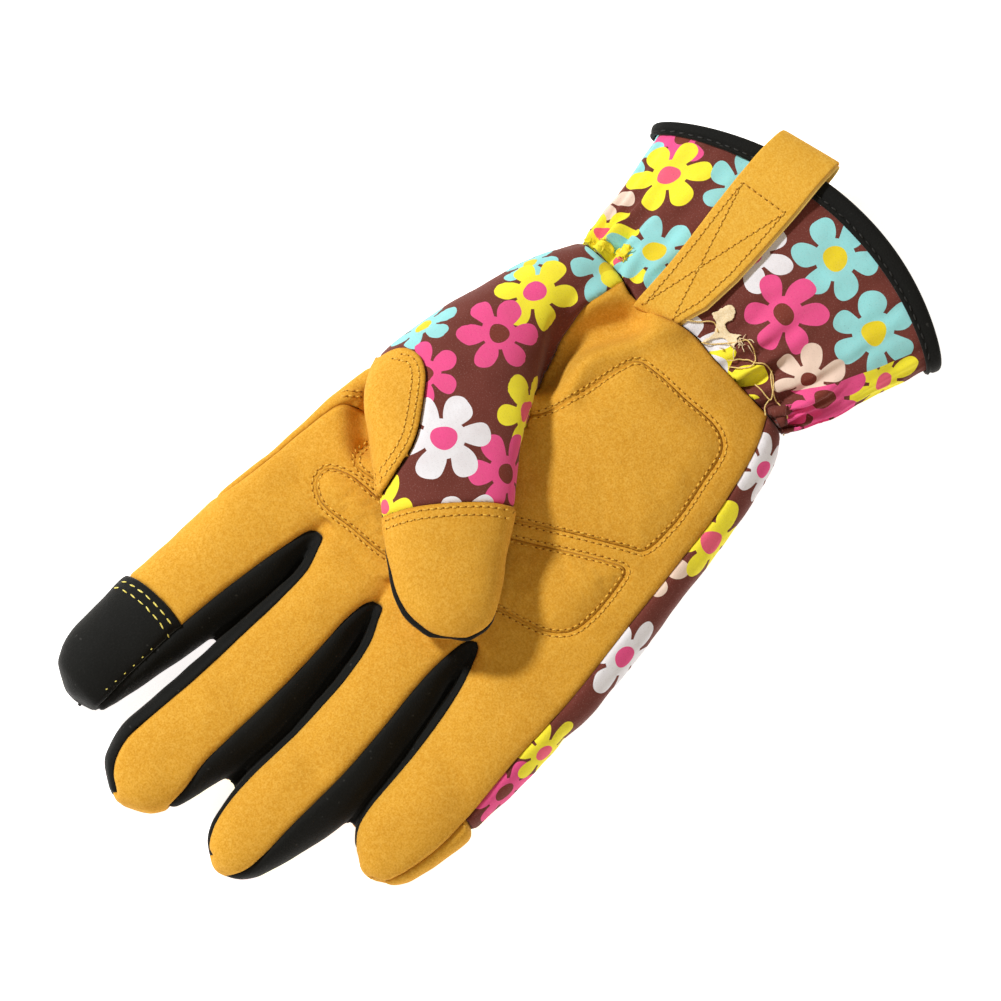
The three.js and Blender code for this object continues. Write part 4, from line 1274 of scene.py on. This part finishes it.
def scrap(outline, crumple):
    """A torn scrap of thin cloth lying on the wrist, within an outline in plan."""
    edge = smooth_path(outline, 0.3, True)
    low, high = edge.min(axis=0), edge.max(axis=0)
    columns, lines = (int(n) + 1 for n in (high - low) / SCRAP_CELL)
    bm = bmesh.new()
    bmesh.ops.create_grid(bm, x_segments=columns, y_segments=lines, size=1)
    plan = np.array([(low + high) / 2 + np.array(v.co[:2]) * (high - low) / 2 for v in bm.verts])
    places, normals = on_surface(("cuff", "thumb_back", "palm_panel"), plan)
    held = inside(edge, plan[:, 0], plan[:, 1])
    level = np.median([spot.z for spot, kept in zip(places, held) if spot is not None and kept])
    lost = []
    for v, spot, normal, kept, (x, y) in zip(bm.verts, places, normals, held, plan):
        if spot is None or not kept or abs(spot.z - level) > 3.5:
            lost.append(v)
            continue
        ruffle = noise.noise(Vector((x * 0.6, y * 0.6, 3)))
        ruffle += 0.5 * noise.noise(Vector((x * 1.6, y * 1.6, 9)))
        v.co = spot + normal * (0.35 + crumple * (0.5 + ruffle))
    bmesh.ops.delete(bm, geom=lost, context="VERTS")
    for _ in range(3):
        relax(bm, bm.verts)
    bm.normal_update()
    bmesh.ops.solidify(bm, geom=bm.faces[:], thickness=0.2)
    return bm


def fray():
    """The elastic's zigzag thread, come loose at the wrist, and tufts of frayed cloth."""
    random.seed(23)
    threads = []
    for path, lift in ELASTIC_THREADS:
        plan = smooth_path(path, 1.6)
        places, normals = on_surface(("cuff", "back_panel", "palm_panel"), plan)
        points = [spot + normal * (lift * (0.5 + 0.5 * math.sin(1.9 * k)) + 0.25)
                  for k, (spot, normal) in enumerate(zip(places, normals)) if spot is not None]
        threads.append(strand(points, 0.18))
    merged(threads, "elastic_threads", "pale_thread")
    tufts = {}
    for (x, y), reach, lean, count, finish in TUFTS:
        for _ in range(count):
            turn = lean + random.gauss(0, 1.1)
            root = (x + random.gauss(0, 0.9), y + random.gauss(0, 0.9))
            length = reach * random.uniform(0.5, 1)
            bend = random.uniform(-0.7, 0.7)
            plan = [(root[0] + t * length * math.cos(turn + bend * t),
                     root[1] + t * length * math.sin(turn + bend * t)) for t in (0, 0.33, 0.66, 1)]
            places, normals = on_surface(("cuff", "thumb_back", "palm_panel"), plan)
            if None in places:
                continue
            lifts = (0.1, random.uniform(0.4, 1.3), random.uniform(0.5, 1.7), random.uniform(0.2, 1.5))
            points = [spot + normal * lift for spot, normal, lift in zip(places, normals, lifts)]
            tufts.setdefault(finish, []).append(strand(points, random.uniform(0.08, 0.16)))
    for outline, crumple, finish in SCRAPS:
        tufts.setdefault(finish, []).append(scrap(outline, crumple))
    for finish, parts in tufts.items():
        merged(parts, finish.replace("thread", "fray"), finish)


def carve_panels(skin):
    """The parts of the skin between its seams."""
    skin.materials.append(None)
    skin.materials.append(None)
    palm_edge = smooth_path(suede_seam(), 1.0)
    suede_outline = np.vstack((palm_edge, ((BEYOND, -40), (BEYOND, -75), (-20, -75))))
    suede = union(prism(suede_outline, SEAM_Z), *tip_wraps())
    slits = [prism(outline, SEAM_Z) for outline in slit_outlines()]
    thumb_outline = np.vstack((THUMB[:, 0:2], THUMB[::-1, 2:4]))
    over_palm = prism(grown(thumb_outline, 3), OVER_PALM_Z)
    root_outline = np.array((ROOT_FOOT, *THUMB[1:6, 0:2], *ROOT_PALM, (BEYOND, 1.6), (BEYOND, -64)))
    root = prism(root_outline, SEAM_Z)
    saddle_on_thumb = prism(smooth_path(SADDLE_ON_THUMB, 1.0, True), OVER_PALM_Z)
    saddle_on_side = prism(np.vstack((SADDLE_ON_SIDE, smooth_path(SADDLE_SIDE_SEAM))), SEAM_Z)
    cap = cap_line()
    tip = prism(np.vstack((cap, ((-29, 70), (-70, 30)))), OVER_PALM_Z - 1)
    shrunk_root = prism(grown(root_outline, 6), 0)
    wide_thumb = grown(thumb_outline, 6)
    index_edge = smooth_path(INDEX_CAP_EDGE, 1.0)
    index_cap = prism(np.vstack((index_edge, ((60, 130), (15, 130)))), -5)
    little_cap = prism(((-70, LITTLE_CAP_Y), (-30, LITTLE_CAP_Y), (-30, 95), (-70, 95)), -5)
    across = np.linspace(-60, 60, 80)
    arm = prism(np.vstack((np.stack((across, elastic_y(across)), axis=1), ((60, -90), (-60, -90)))), -5)

    hand = carve(skin, outside(arm))
    no_saddle = (outside(saddle_on_thumb), outside(saddle_on_side))
    thumb_zone = union(over_palm, root)
    thumb = carve(hand, within(thumb_zone), *no_saddle)
    rest = carve(hand, outside(thumb_zone), *no_saddle)
    front = carve(rest, within(suede))
    below, side, underneath = (
        combined(prism(wide_thumb, low, high, THUMB_SLOPE), outside(shrunk_root))
        for low, high in ((-30, THUMB_SEAM_Z), (THUMB_UNDER_Z, THUMB_SEAM_Z), (-30, THUMB_UNDER_Z)))

    panels = {
        "saddle_patch": carve(hand, within(union(saddle_on_thumb, saddle_on_side))),
        "thumb_tip_cap": carve(thumb, within(tip), outside(below)),
        "thumb_back": carve(thumb, outside(tip), outside(below)),
        "thumb_gusset": carve(thumb, within(side)),
        "thumb_underside": carve(thumb, within(underneath)),
        "palm_panel": carve(front, outside(index_cap)),
        "index_tip_cap": carve(front, within(index_cap)),
        "back": carve(rest, outside(suede), *(outside(s) for s in slits)),
    }
    for a, b, slit in zip(ORDER, ORDER[1:], slits):
        panels[f"fourchette_{a}_{b}"] = carve(rest, within(slit))
    panels["back_panel"] = carve(panels["back"], outside(little_cap))
    panels["little_tip_cap"] = carve(panels.pop("back"), within(little_cap))
    for name in PADS:
        panels[name] = carve(front, within(prism(pad_path(name), PAD_FLOOR, PAD_CEILING)))
    return panels, {"cap": cap, "index": index_edge}


def combined(first, *cuts):
    """A cutter that is itself cut by others, or joined with them."""
    made = bpy.data.objects.new("cutter", carve(prism_mesh(first), *cuts))
    bpy.context.scene.collection.objects.link(made)
    return made


def union(first, *others):
    return combined(first, *(("UNION", other) for other in others))


def tip_wraps():
    """Where the suede goes round a fingertip down to the table."""
    for name in ("ring", "middle", "index"):
        rows = FINGERS[name]
        tip = rows[-1]
        wrap = [(r[SEAM_LEFT], r[0]) for r in rows[-6:-1]] + [(tip[SEAM_LEFT] + 1, tip[0] + 3)]
        wrap += [(tip[SEAM_RIGHT] - 1, tip[0] + 3)] + [(r[SEAM_RIGHT], r[0]) for r in rows[-6:-1]][::-1]
        yield prism(wrap, TIP_SEAM_Z, SEAM_Z + 4)


def prism_mesh(cutter):
    mesh = cutter.data.copy()
    while len(mesh.materials) < 2:
        mesh.materials.append(None)
    return mesh


def grown(outline, distance):
    """A closed outline moved outwards, corner by corner."""
    p = np.array(outline, float)
    area = np.sum(p[:, 0] * np.roll(p[:, 1], -1) - np.roll(p[:, 0], -1) * p[:, 1])
    before = p - np.roll(p, 1, axis=0)
    after = np.roll(p, -1, axis=0) - p
    out = [np.stack((d[:, 1], -d[:, 0]), axis=1) / np.linalg.norm(d, axis=1)[:, None]
           for d in (before, after)]
    middle = out[0] + out[1]
    middle /= np.linalg.norm(middle, axis=1)[:, None]
    reach = np.sign(area) * distance / np.maximum(0.5, (middle * out[0]).sum(axis=1))
    return p + middle * reach[:, None]


def crotch_points(k):
    x, y = CROTCHES[k]
    return [(x - 1.9, y + 2.6), (x - 1.2, y + 0.9), (x, y + 0.3), (x + 1.2, y + 0.9), (x + 1.9, y + 2.6)]


def seam_points(rows, column, above):
    return [(r[column], r[0]) for r in rows if r[0] > above + 4.5]


def suede_seam():
    """The seam round the palm panel, from the wrist along the little finger and round every fingertip."""
    points = list(PALM_SIDE_SEAM)
    for k, name in enumerate(ORDER):
        rows = FINGERS[name]
        below = CROTCHES[k - 1][1] if k else 22
        above = CROTCHES[k][1] if k < len(CROTCHES) else 22
        tip = rows[-1]
        points += seam_points(rows, SEAM_LEFT, below)
        points += [(tip[SEAM_LEFT] + 1, tip[0] + 3), (tip[SEAM_RIGHT] - 1, tip[0] + 3)]
        points += seam_points(rows, SEAM_RIGHT, above)[::-1]
        if k < len(CROTCHES):
            points += crotch_points(k)
    return points


def slit_outlines():
    """The black strip between two fingers, from seam to seam."""
    for k in range(len(CROTCHES)):
        a, b = FINGERS[ORDER[k]], FINGERS[ORDER[k + 1]]
        right = seam_points(a, SEAM_RIGHT, CROTCHES[k][1])
        left = seam_points(b, SEAM_LEFT, CROTCHES[k][1])
        tip_a, tip_b = a[-1], b[-1]
        top = max(tip_a[0], tip_b[0]) + 6
        points = [(tip_a[SEAM_RIGHT] - 1, tip_a[0] + 3), *right[::-1], *crotch_points(k), *left,
                  (tip_b[SEAM_LEFT] + 1, tip_b[0] + 3)]
        curve = smooth_path(points, 1.0)
        yield np.vstack((curve, ((tip_b[SEAM_LEFT] + 1, top), (tip_a[SEAM_RIGHT] - 1, top))))


def hollowed(bm, outlines):
    """Presses the suede down where a pad lies on it, so that the pad's edge is level with its stitches."""
    co, normal = points_of(bm)
    x, y = co[:, 0], co[:, 1]
    move = np.zeros(len(co))
    for outline in outlines:
        within_it = inside(outline, x, y) & (normal[:, 2] > 0)
        move -= PAD_BED * within_it * ease(distance_to(close(outline), x, y) / PAD_BED_REACH)
    place_points(bm, co + normal * move[:, None])


def swell(bm, edge):
    """How far each point of a pad's cover rises when it is blown up against its seam, by cloth simulation.

    The cover is simulated at ten times its size, where the cloth's usual settings suit it.
    """
    count = len(bm.verts)
    scale = 10 * MM
    work = bm.copy()
    bmesh.ops.transform(work, matrix=Matrix.Scale(scale, 4), verts=work.verts)
    cover = to_object(work, "cover")
    start = np.array([v.co for v in cover.data.vertices])
    seam = cover.vertex_groups.new(name="seam")
    seam.add([k for k in range(count) if edge[k] < 1.0], 1.0, "REPLACE")
    cloth = cover.modifiers.new("cloth", "CLOTH")
    cloth.settings.vertex_group_mass = "seam"
    cloth.settings.use_pressure = True
    cloth.settings.uniform_pressure_force = PRESSURE
    cloth.settings.shrink_min = SHRINK
    cloth.settings.effector_weights.gravity = 0
    cloth.point_cache.frame_start, cloth.point_cache.frame_end = 1, BLOW_FRAMES
    for step in range(1, BLOW_FRAMES + 1):
        bpy.context.scene.frame_set(step)
    blown = cover.evaluated_get(bpy.context.evaluated_depsgraph_get()).data
    end = np.array([v.co for v in blown.vertices])
    bpy.data.objects.remove(cover)
    bpy.context.scene.frame_set(1)
    normal = np.array([v.normal for v in bm.verts])
    return ((end - start) * normal).sum(axis=1) / scale


def make_pad(name, mesh):
    """A quilted pad: a crowned cover on a flat back, meeting in the seam.

    The simulation gives part of the crown its form. How high it rises is set by PAD_PUFF.
    """
    bm = open_patch(mesh)
    edge = from_edge(bm)
    co, normal = points_of(bm)
    valley = -GROOVE * np.exp(-((edge / GROOVE_WIDTH) ** 2))
    shoulder = ease(edge / PAD_SHOULDER)
    place_points(bm, co + normal * (valley + PAD_PUFF * PAD_CROWN * shoulder)[:, None])
    blown = swell(bm, edge)
    most = float(np.abs(blown).max())
    puff = PAD_PUFF * shoulder
    if most >= 0.05:
        puff = PAD_PUFF * PAD_CROWN * shoulder + PAD_PUFF * PAD_BLOWN * np.clip(blown / most, -0.3, 1)
    covers = list(bm.verts)
    copied = bmesh.ops.duplicate(bm, geom=bm.verts[:] + bm.edges[:] + bm.faces[:])
    backs = [copied["vert_map"][v] for v in covers]
    bmesh.ops.reverse_faces(bm, faces=[g for g in copied["geom"] if isinstance(g, bmesh.types.BMFace)])
    for k, (cover, back) in enumerate(zip(covers, backs)):
        n = Vector(normal[k])
        cover.co = Vector(co[k]) + n * float(valley[k] + puff[k])
        back.co = Vector(co[k]) + n * float(valley[k] - PAD_BACK * ease(edge[k] / 2.0))
    bmesh.ops.remove_doubles(bm, verts=bm.verts, dist=0.02)
    bm.normal_update()
    tops[name] = BVHTree.FromBMesh(bm)
    co, _ = points_of(bm)
    # The distance to the pad's seam, from which the suede paints shade into the seam's crease
    piece = show(name, bm, "suede", (name,), edge=distance_to(close(pad_path(name)), co[:, 0], co[:, 1]))


def cuff_points(at, angle, grow, gathered=0.0):
    """Points of the cuff's form, from shares of its length and angles round it."""
    rows = smooth_columns(CUFF, np.clip(at, 0, 1))
    left, right, top = rows[:, 1], rows[:, 2], rows[:, 3]
    raised = (BINDING_CLOTH + 0.6) * ease((at - 0.7) / 0.2)
    half = (right - left) / 2
    across, z = oval(angle, half + grow, raised - grow, top + grow, CUFF_SQUARE)
    waves = sum(share * np.cos(count * angle + phase + twist * at) for count, phase, twist, share in GATHERS)
    fade = np.exp(-((at / 0.3) ** 2)) + 0.1
    wave = gathered * waves * fade * ease((z - 3) / 6)
    x = (left + right) / 2 + across * (1 + wave / half)
    y = (elastic_y(x) - 0.3) * (1 - at) + hem_y(x) * at
    return np.stack((x, y, z + wave), axis=1)


def make_cuff():
    """The printed cuff, gathered where it meets the hand."""
    around, along = CUFF_AROUND, CUFF_ALONG
    end = 1 - 1.8 / CUFF_LENGTH  # it ends inside the binding
    columns, lines = np.meshgrid(np.arange(around + 1), np.arange(along + 1), indexing="ij")
    angle = (columns / around - 0.25) * 2 * np.pi
    rings = cuff_points((lines / along * end).ravel(), angle.ravel(), 0).reshape(around + 1, along + 1, 3)
    steps = np.linalg.norm(np.diff(rings, axis=0), axis=2)
    gone = np.vstack((np.zeros((1, along + 1)), np.cumsum(steps, axis=0)))
    crest = around // 2
    round_it = gone - gone[crest] + rings[crest, :, 0]
    grid = {}

    def place(column, line):
        grid["column"], grid["line"] = column, line
        return cuff_points(line / along * end, (column / around - 0.25) * 2 * np.pi, 0, GATHER_DEPTH)

    bm = lattice(around, along, place)
    # The print is measured round each ring from its crest, and along the arm.
    layer = bm.verts.layers.float_vector.new("print")
    for v, column, line in zip(bm.verts, grid["column"], grid["line"]):
        v[layer] = Vector((-round_it[column, line], rings[column, line, 1], 0))
    bmesh.ops.remove_doubles(bm, verts=bm.verts, dist=1e-5)
    bmesh.ops.recalc_face_normals(bm, faces=bm.faces)
    bm.normal_update()
    # Crumpling of the cloth, strongest beside the elastic
    co, normal = points_of(bm)
    near = np.clip((wrist_y(co[:, 0]) - co[:, 1]) / CUFF_LENGTH, 0, 1)
    crumple = np.array([noise.noise(Vector((p[0] * 0.13, p[1] * 0.07, p[2] * 0.13))) for p in co])
    crumple += 0.5 * np.array([noise.noise(Vector((p[0] * 0.35, p[1] * 0.2, p[2] * 0.35 + 7))) for p in co])
    crumple = crumple * (0.45 + 1.3 * np.exp(-near / 0.22)) * ease((co[:, 2] - 2) / 5)
    place_points(bm, co + normal * crumple[:, None])
    tops["cuff"] = BVHTree.FromBMesh(bm)
    printed = np.array([v[layer] for v in bm.verts])
    bm.verts.layers.float_vector.remove(layer)
    piece = show("cuff", bm, "cuff_cloth", ("cuff",), CLOTH, printed=printed)


def make_binding():
    """The hem's binding: a folded tape whose two edges stand on either side of the cloth."""
    around = CUFF_AROUND
    start = 1 - BINDING_WIDTH / CUFF_LENGTH
    # Share of the cuff's length, and height over the cloth
    profile = np.array((
        (start, 0.3), (start - 0.001, 0.9), (start + 0.012, 1.25), (start + 0.028, 0.95),
        (start + 0.045, 1.3), (0.985, 1.35), (1.0, 0.9), (1.006, -0.65), (1.0, -2.2), (0.985, -2.65),
        (start + 0.02, -2.5), (start, -1.7), (0.968, -1.55), (0.968, 0.2),
    ))
    shape = smooth_path(profile * (CUFF_LENGTH, 1), 0.5, True) / (CUFF_LENGTH, 1)
    count = len(shape)

    def place(column, line):
        angle = (column % around) / around * 2 * np.pi - np.pi / 2
        at, grow = shape[line % count].T
        return cuff_points(np.minimum(at, 1), angle, grow) + np.stack(
            (np.zeros(len(at)), -np.maximum(at - 1, 0) * CUFF_LENGTH, np.zeros(len(at))), axis=1)

    bm = lattice(around, count, place)
    bmesh.ops.remove_doubles(bm, verts=bm.verts, dist=1e-5)
    bmesh.ops.recalc_face_normals(bm, faces=bm.faces)
    bm.normal_update()
    tops["hem_binding"] = BVHTree.FromBMesh(bm)
    piece = show("hem_binding", bm, "black", ("hem_binding",))


def cuff_height(x, y):
    """The height of the cuff's top, gathers left out."""
    at = np.clip((wrist_y(x) - y) / (wrist_y(x) - hem_y(x)), 0, 1)
    left, right, top = smooth_columns(CUFF, np.array([at]))[0, 1:]
    across = abs((x - (left + right) / 2) / ((right - left) / 2))
    belly = BELLY * top
    return belly + (top - belly) * (1 - across**CUFF_SQUARE) ** (1 / CUFF_SQUARE)


def strap_sides(y):
    return np.interp(y, LOOP[:, 0], LOOP[:, 1]), np.interp(y, LOOP[:, 0], LOOP[:, 2])


def strap_route():
    """The strap's middle line from the elastic over the hem and back into the mouth: y and height."""
    def middle_x(y):
        return sum(strap_sides(y)) / 2

    lift = LOOP_THICK / 2 + 0.9
    hem_top = cuff_height(middle_x(-106), -106) + BINDING_CLOTH + STRAP_CLEAR + lift
    inside_z = cuff_height(middle_x(LOOP_INSIDE), LOOP_INSIDE) - CLOTH - BINDING_CLOTH - STRAP_CLEAR - lift
    centre = (LOOP_FOLD + LOOP_BEND, hem_top - LOOP_BEND)
    turns = np.radians(np.arange(0, 181, 30))
    route = [(y, cuff_height(middle_x(y), y) + lift + extra) for y, extra in STRAP_HEIGHTS]
    route.append((-105, hem_top))
    route += [(centre[0] - LOOP_BEND * math.sin(t), centre[1] + LOOP_BEND * math.cos(t)) for t in turns]
    route += [(-104, inside_z), (LOOP_INSIDE, inside_z)]
    return even_path(smooth_path(route, 0.5), 0.6)


def strap_skew(y):
    """How far the strap's crosswise lines run askew, at its fold and at its sewn end."""
    return LOOP_SKEW * np.clip((-70 - y) / 40, 0, 1) + END_SKEW * np.clip((y + 68) / 8, 0, 1)


def strap_layer(path, low, high, wider):
    """One thickness of suede along the strap's route. It may stand out beyond the other layer's edge."""
    ahead = np.gradient(path, axis=0)
    ahead /= np.linalg.norm(ahead, axis=1)[:, None]
    corner = np.linspace(0, 2 * np.pi, 40, endpoint=False)
    rings = []
    for (y, z), (ay, az) in zip(path, ahead):
        left, right = strap_sides(y)
        left -= wider
        half = (right - left) / 2
        across = half * np.sign(np.cos(corner)) * np.abs(np.cos(corner)) ** 0.16
        rise = np.sign(np.sin(corner)) * np.abs(np.sin(corner)) ** 0.45
        face = (low + high) / 2 + (high - low) / 2 * rise
        x = (left + right) / 2 + across
        rings.append(np.stack((x, y + across * strap_skew(y) + face * az, z - face * ay), axis=1))
    return tube(np.array(rings))


def make_loop():
    """The suede pull loop: a doubled strap along the cuff that turns back under itself past the hem."""
    path = strap_route()
    bm = strap_layer(path, 0.0, LOOP_THICK / 2, 0.0)
    bm.normal_update()
    tops["pull_loop"] = BVHTree.FromBMesh(bm)
    upper = len(bm.verts)
    absorb(bm, strap_layer(path, -LOOP_THICK / 2, -0.05, 0.8))
    bm.normal_update()
    # The lower layer takes the strap's pale edge tone all over; it shows as a pale band beside the upper
    # layer
    edge = np.where(np.arange(len(bm.verts)) < upper, NO_EDGE, 0.0)
    piece = show("pull_loop", bm, "strap", ("pull_loop",), edge=edge)


def loop_rows():
    """The stitched box and its cross, in plan."""
    def edge(y, side):
        left, right = strap_sides(y)
        left, right = left + LOOP_ROW_INSET, right - LOOP_ROW_INSET
        x = left if side < 0 else right
        return (x, y + (x - (left + right) / 2) * float(strap_skew(y)))

    sides = [[edge(y, side) for y in LOOP_ROW_Y] for side in (-1, 1)]
    return [np.array(sides[0]), np.array(sides[1]), np.array((sides[0][-1], sides[1][-1])),
            np.array((sides[0][-1], sides[1][0])), np.array((sides[1][-1], sides[0][0]))]


def light(name, place, target, size, power, tone=(1, 1, 1)):
    data = bpy.data.lights.new(name, "AREA")
    data.size = size
    data.energy = power
    data.color = tone
    lamp = bpy.data.objects.new(name, data)
    bpy.context.scene.collection.objects.link(lamp)
    lamp.location = place
    lamp.rotation_mode = "QUATERNION"
    lamp.rotation_quaternion = (Vector(target) - Vector(place)).to_track_quat("-Z", "Y")


def make_camera():
    """The photo's view of the glove."""
    tilt, turn = math.radians(CAMERA_TILT), math.radians(CAMERA_TURN)
    ground_up = Vector((math.cos(turn), -math.sin(turn), 0))
    right = Vector((-math.sin(turn), -math.cos(turn), 0))
    up = ground_up * math.cos(tilt) + Vector((0, 0, math.sin(tilt)))
    back = right.cross(up)
    target = HAND_ORIGIN * MM
    data = bpy.data.cameras.new("camera")
    data.lens = LENS
    data.sensor_width = 36
    data.shift_x = SHIFT_PIXELS / PHOTO_WIDTH
    data.clip_start, data.clip_end = 0.05, 20
    camera = bpy.data.objects.new("camera", data)
    bpy.context.scene.collection.objects.link(camera)
    stand = Matrix((right, up, back)).transposed().to_4x4()
    camera.matrix_world = Matrix.Translation(target + back * CAMERA_AWAY) @ stand
    bpy.context.scene.camera = camera


def make_surroundings(low):
    p = Paint("floor")
    grain = p.noise(p.place(), 4.0, 2.0)
    material = p.finish(Base_Color=p.mix(grain, colour(250, 250, 250), colour(246, 246, 246)), Roughness=0.9,
                        Emission_Color=(1, 1, 1, 1), Emission_Strength=0.85)
    bm = bmesh.new()
    bmesh.ops.create_grid(bm, x_segments=1, y_segments=1, size=3)
    bmesh.ops.translate(bm, verts=bm.verts, vec=(0, 0, low))
    floor = to_object(bm, "floor")
    floor.data.materials.append(material)
    floor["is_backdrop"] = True
    world = bpy.data.worlds.new("studio")
    world.use_nodes = True
    sky = world.node_tree.nodes["Background"].inputs
    sky["Color"].default_value = (1, 0.82, 0.54, 1)
    sky["Strength"].default_value = 0.3
    bpy.context.scene.world = world
    bpy.context.scene.view_settings.view_transform = "Standard"
    aim = HAND_ORIGIN * MM
    light("key", aim + Vector((0.89, 0.28, 0.95)), aim, 0.15, 16.9, (0.98, 0.99, 1.0))
    light("fill", aim + Vector((-0.7, 0.5, 0.9)), aim, 0.9, 3)


def unrolled(reference):
    """The print's place on a panel: its place in plan, carried outwards round its sides from a crest."""
    def place(co, normal):
        x, y = (co[:, :2] + normal[:, :2] * reference(co)[:, None]).T
        return np.stack((x, y, np.zeros(len(co))), axis=1)

    return place


def below_thumb_crest(co):
    middle = (THUMB[:, 0:2] + THUMB[:, 2:4]) / 2
    path = smooth_path(np.column_stack((middle, THUMB[:, 5])), 2)
    gaps = np.hypot(co[:, 0:1] - path[:, 0], co[:, 1:2] - path[:, 1])
    return np.maximum(0, path[gaps.argmin(axis=1), 2] - co[:, 2]) * 0.7


def round_side(co, normal):
    """The back's print: down the little finger's side, then across underneath."""
    x, y, z = co.T
    side = np.interp(y, np.concatenate((HAND[:7, 0], FINGERS["little"][:8, 0])),
                     np.concatenate((HAND[:7, 1], FINGERS["little"][:8, 1])))
    across = np.where((normal[:, 2] < 0) & (z < 7), 2 * side - x, x)
    return np.stack((STRIP_SCALE * (across + z), y, np.zeros(len(x))), axis=1)


random.seed(4)
make_camera()
skin = make_skin()
skin_tree = tree_of([v.co for v in skin.vertices])
skin_normals = np.array([v.normal for v in skin.vertices])
carved, lines = carve_panels(skin)
for thing in [o for o in bpy.context.scene.objects if o.name.startswith("cutter")]:
    bpy.data.objects.remove(thing)

for name in PADS:
    make_pad(name, carved.pop(name))
laps = {
    "saddle_patch": close(smooth_path(SADDLE_ON_THUMB, 1.0, True)),
    "thumb_tip_cap": lines["cap"],
    "index_tip_cap": lines["index"],
    "little_tip_cap": np.array(((-62, LITTLE_CAP_Y), (-30, LITTLE_CAP_Y))),
}
patterns = {"thumb_back": unrolled(below_thumb_crest), "back_panel": round_side}
for name, mesh in carved.items():
    finish, flat, area = SHEETS[name]
    lap, pattern = laps.get(name), patterns.get(name)
    grooves = [close(pad_path(pad)) for pad in PADS] if name == "palm_panel" else ()
    panel(name, mesh, finish, flat, area, lap, grooves, pattern)
make_cuff()
make_binding()
make_loop()
sew()
fray()

make_surroundings(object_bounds()[0].z)
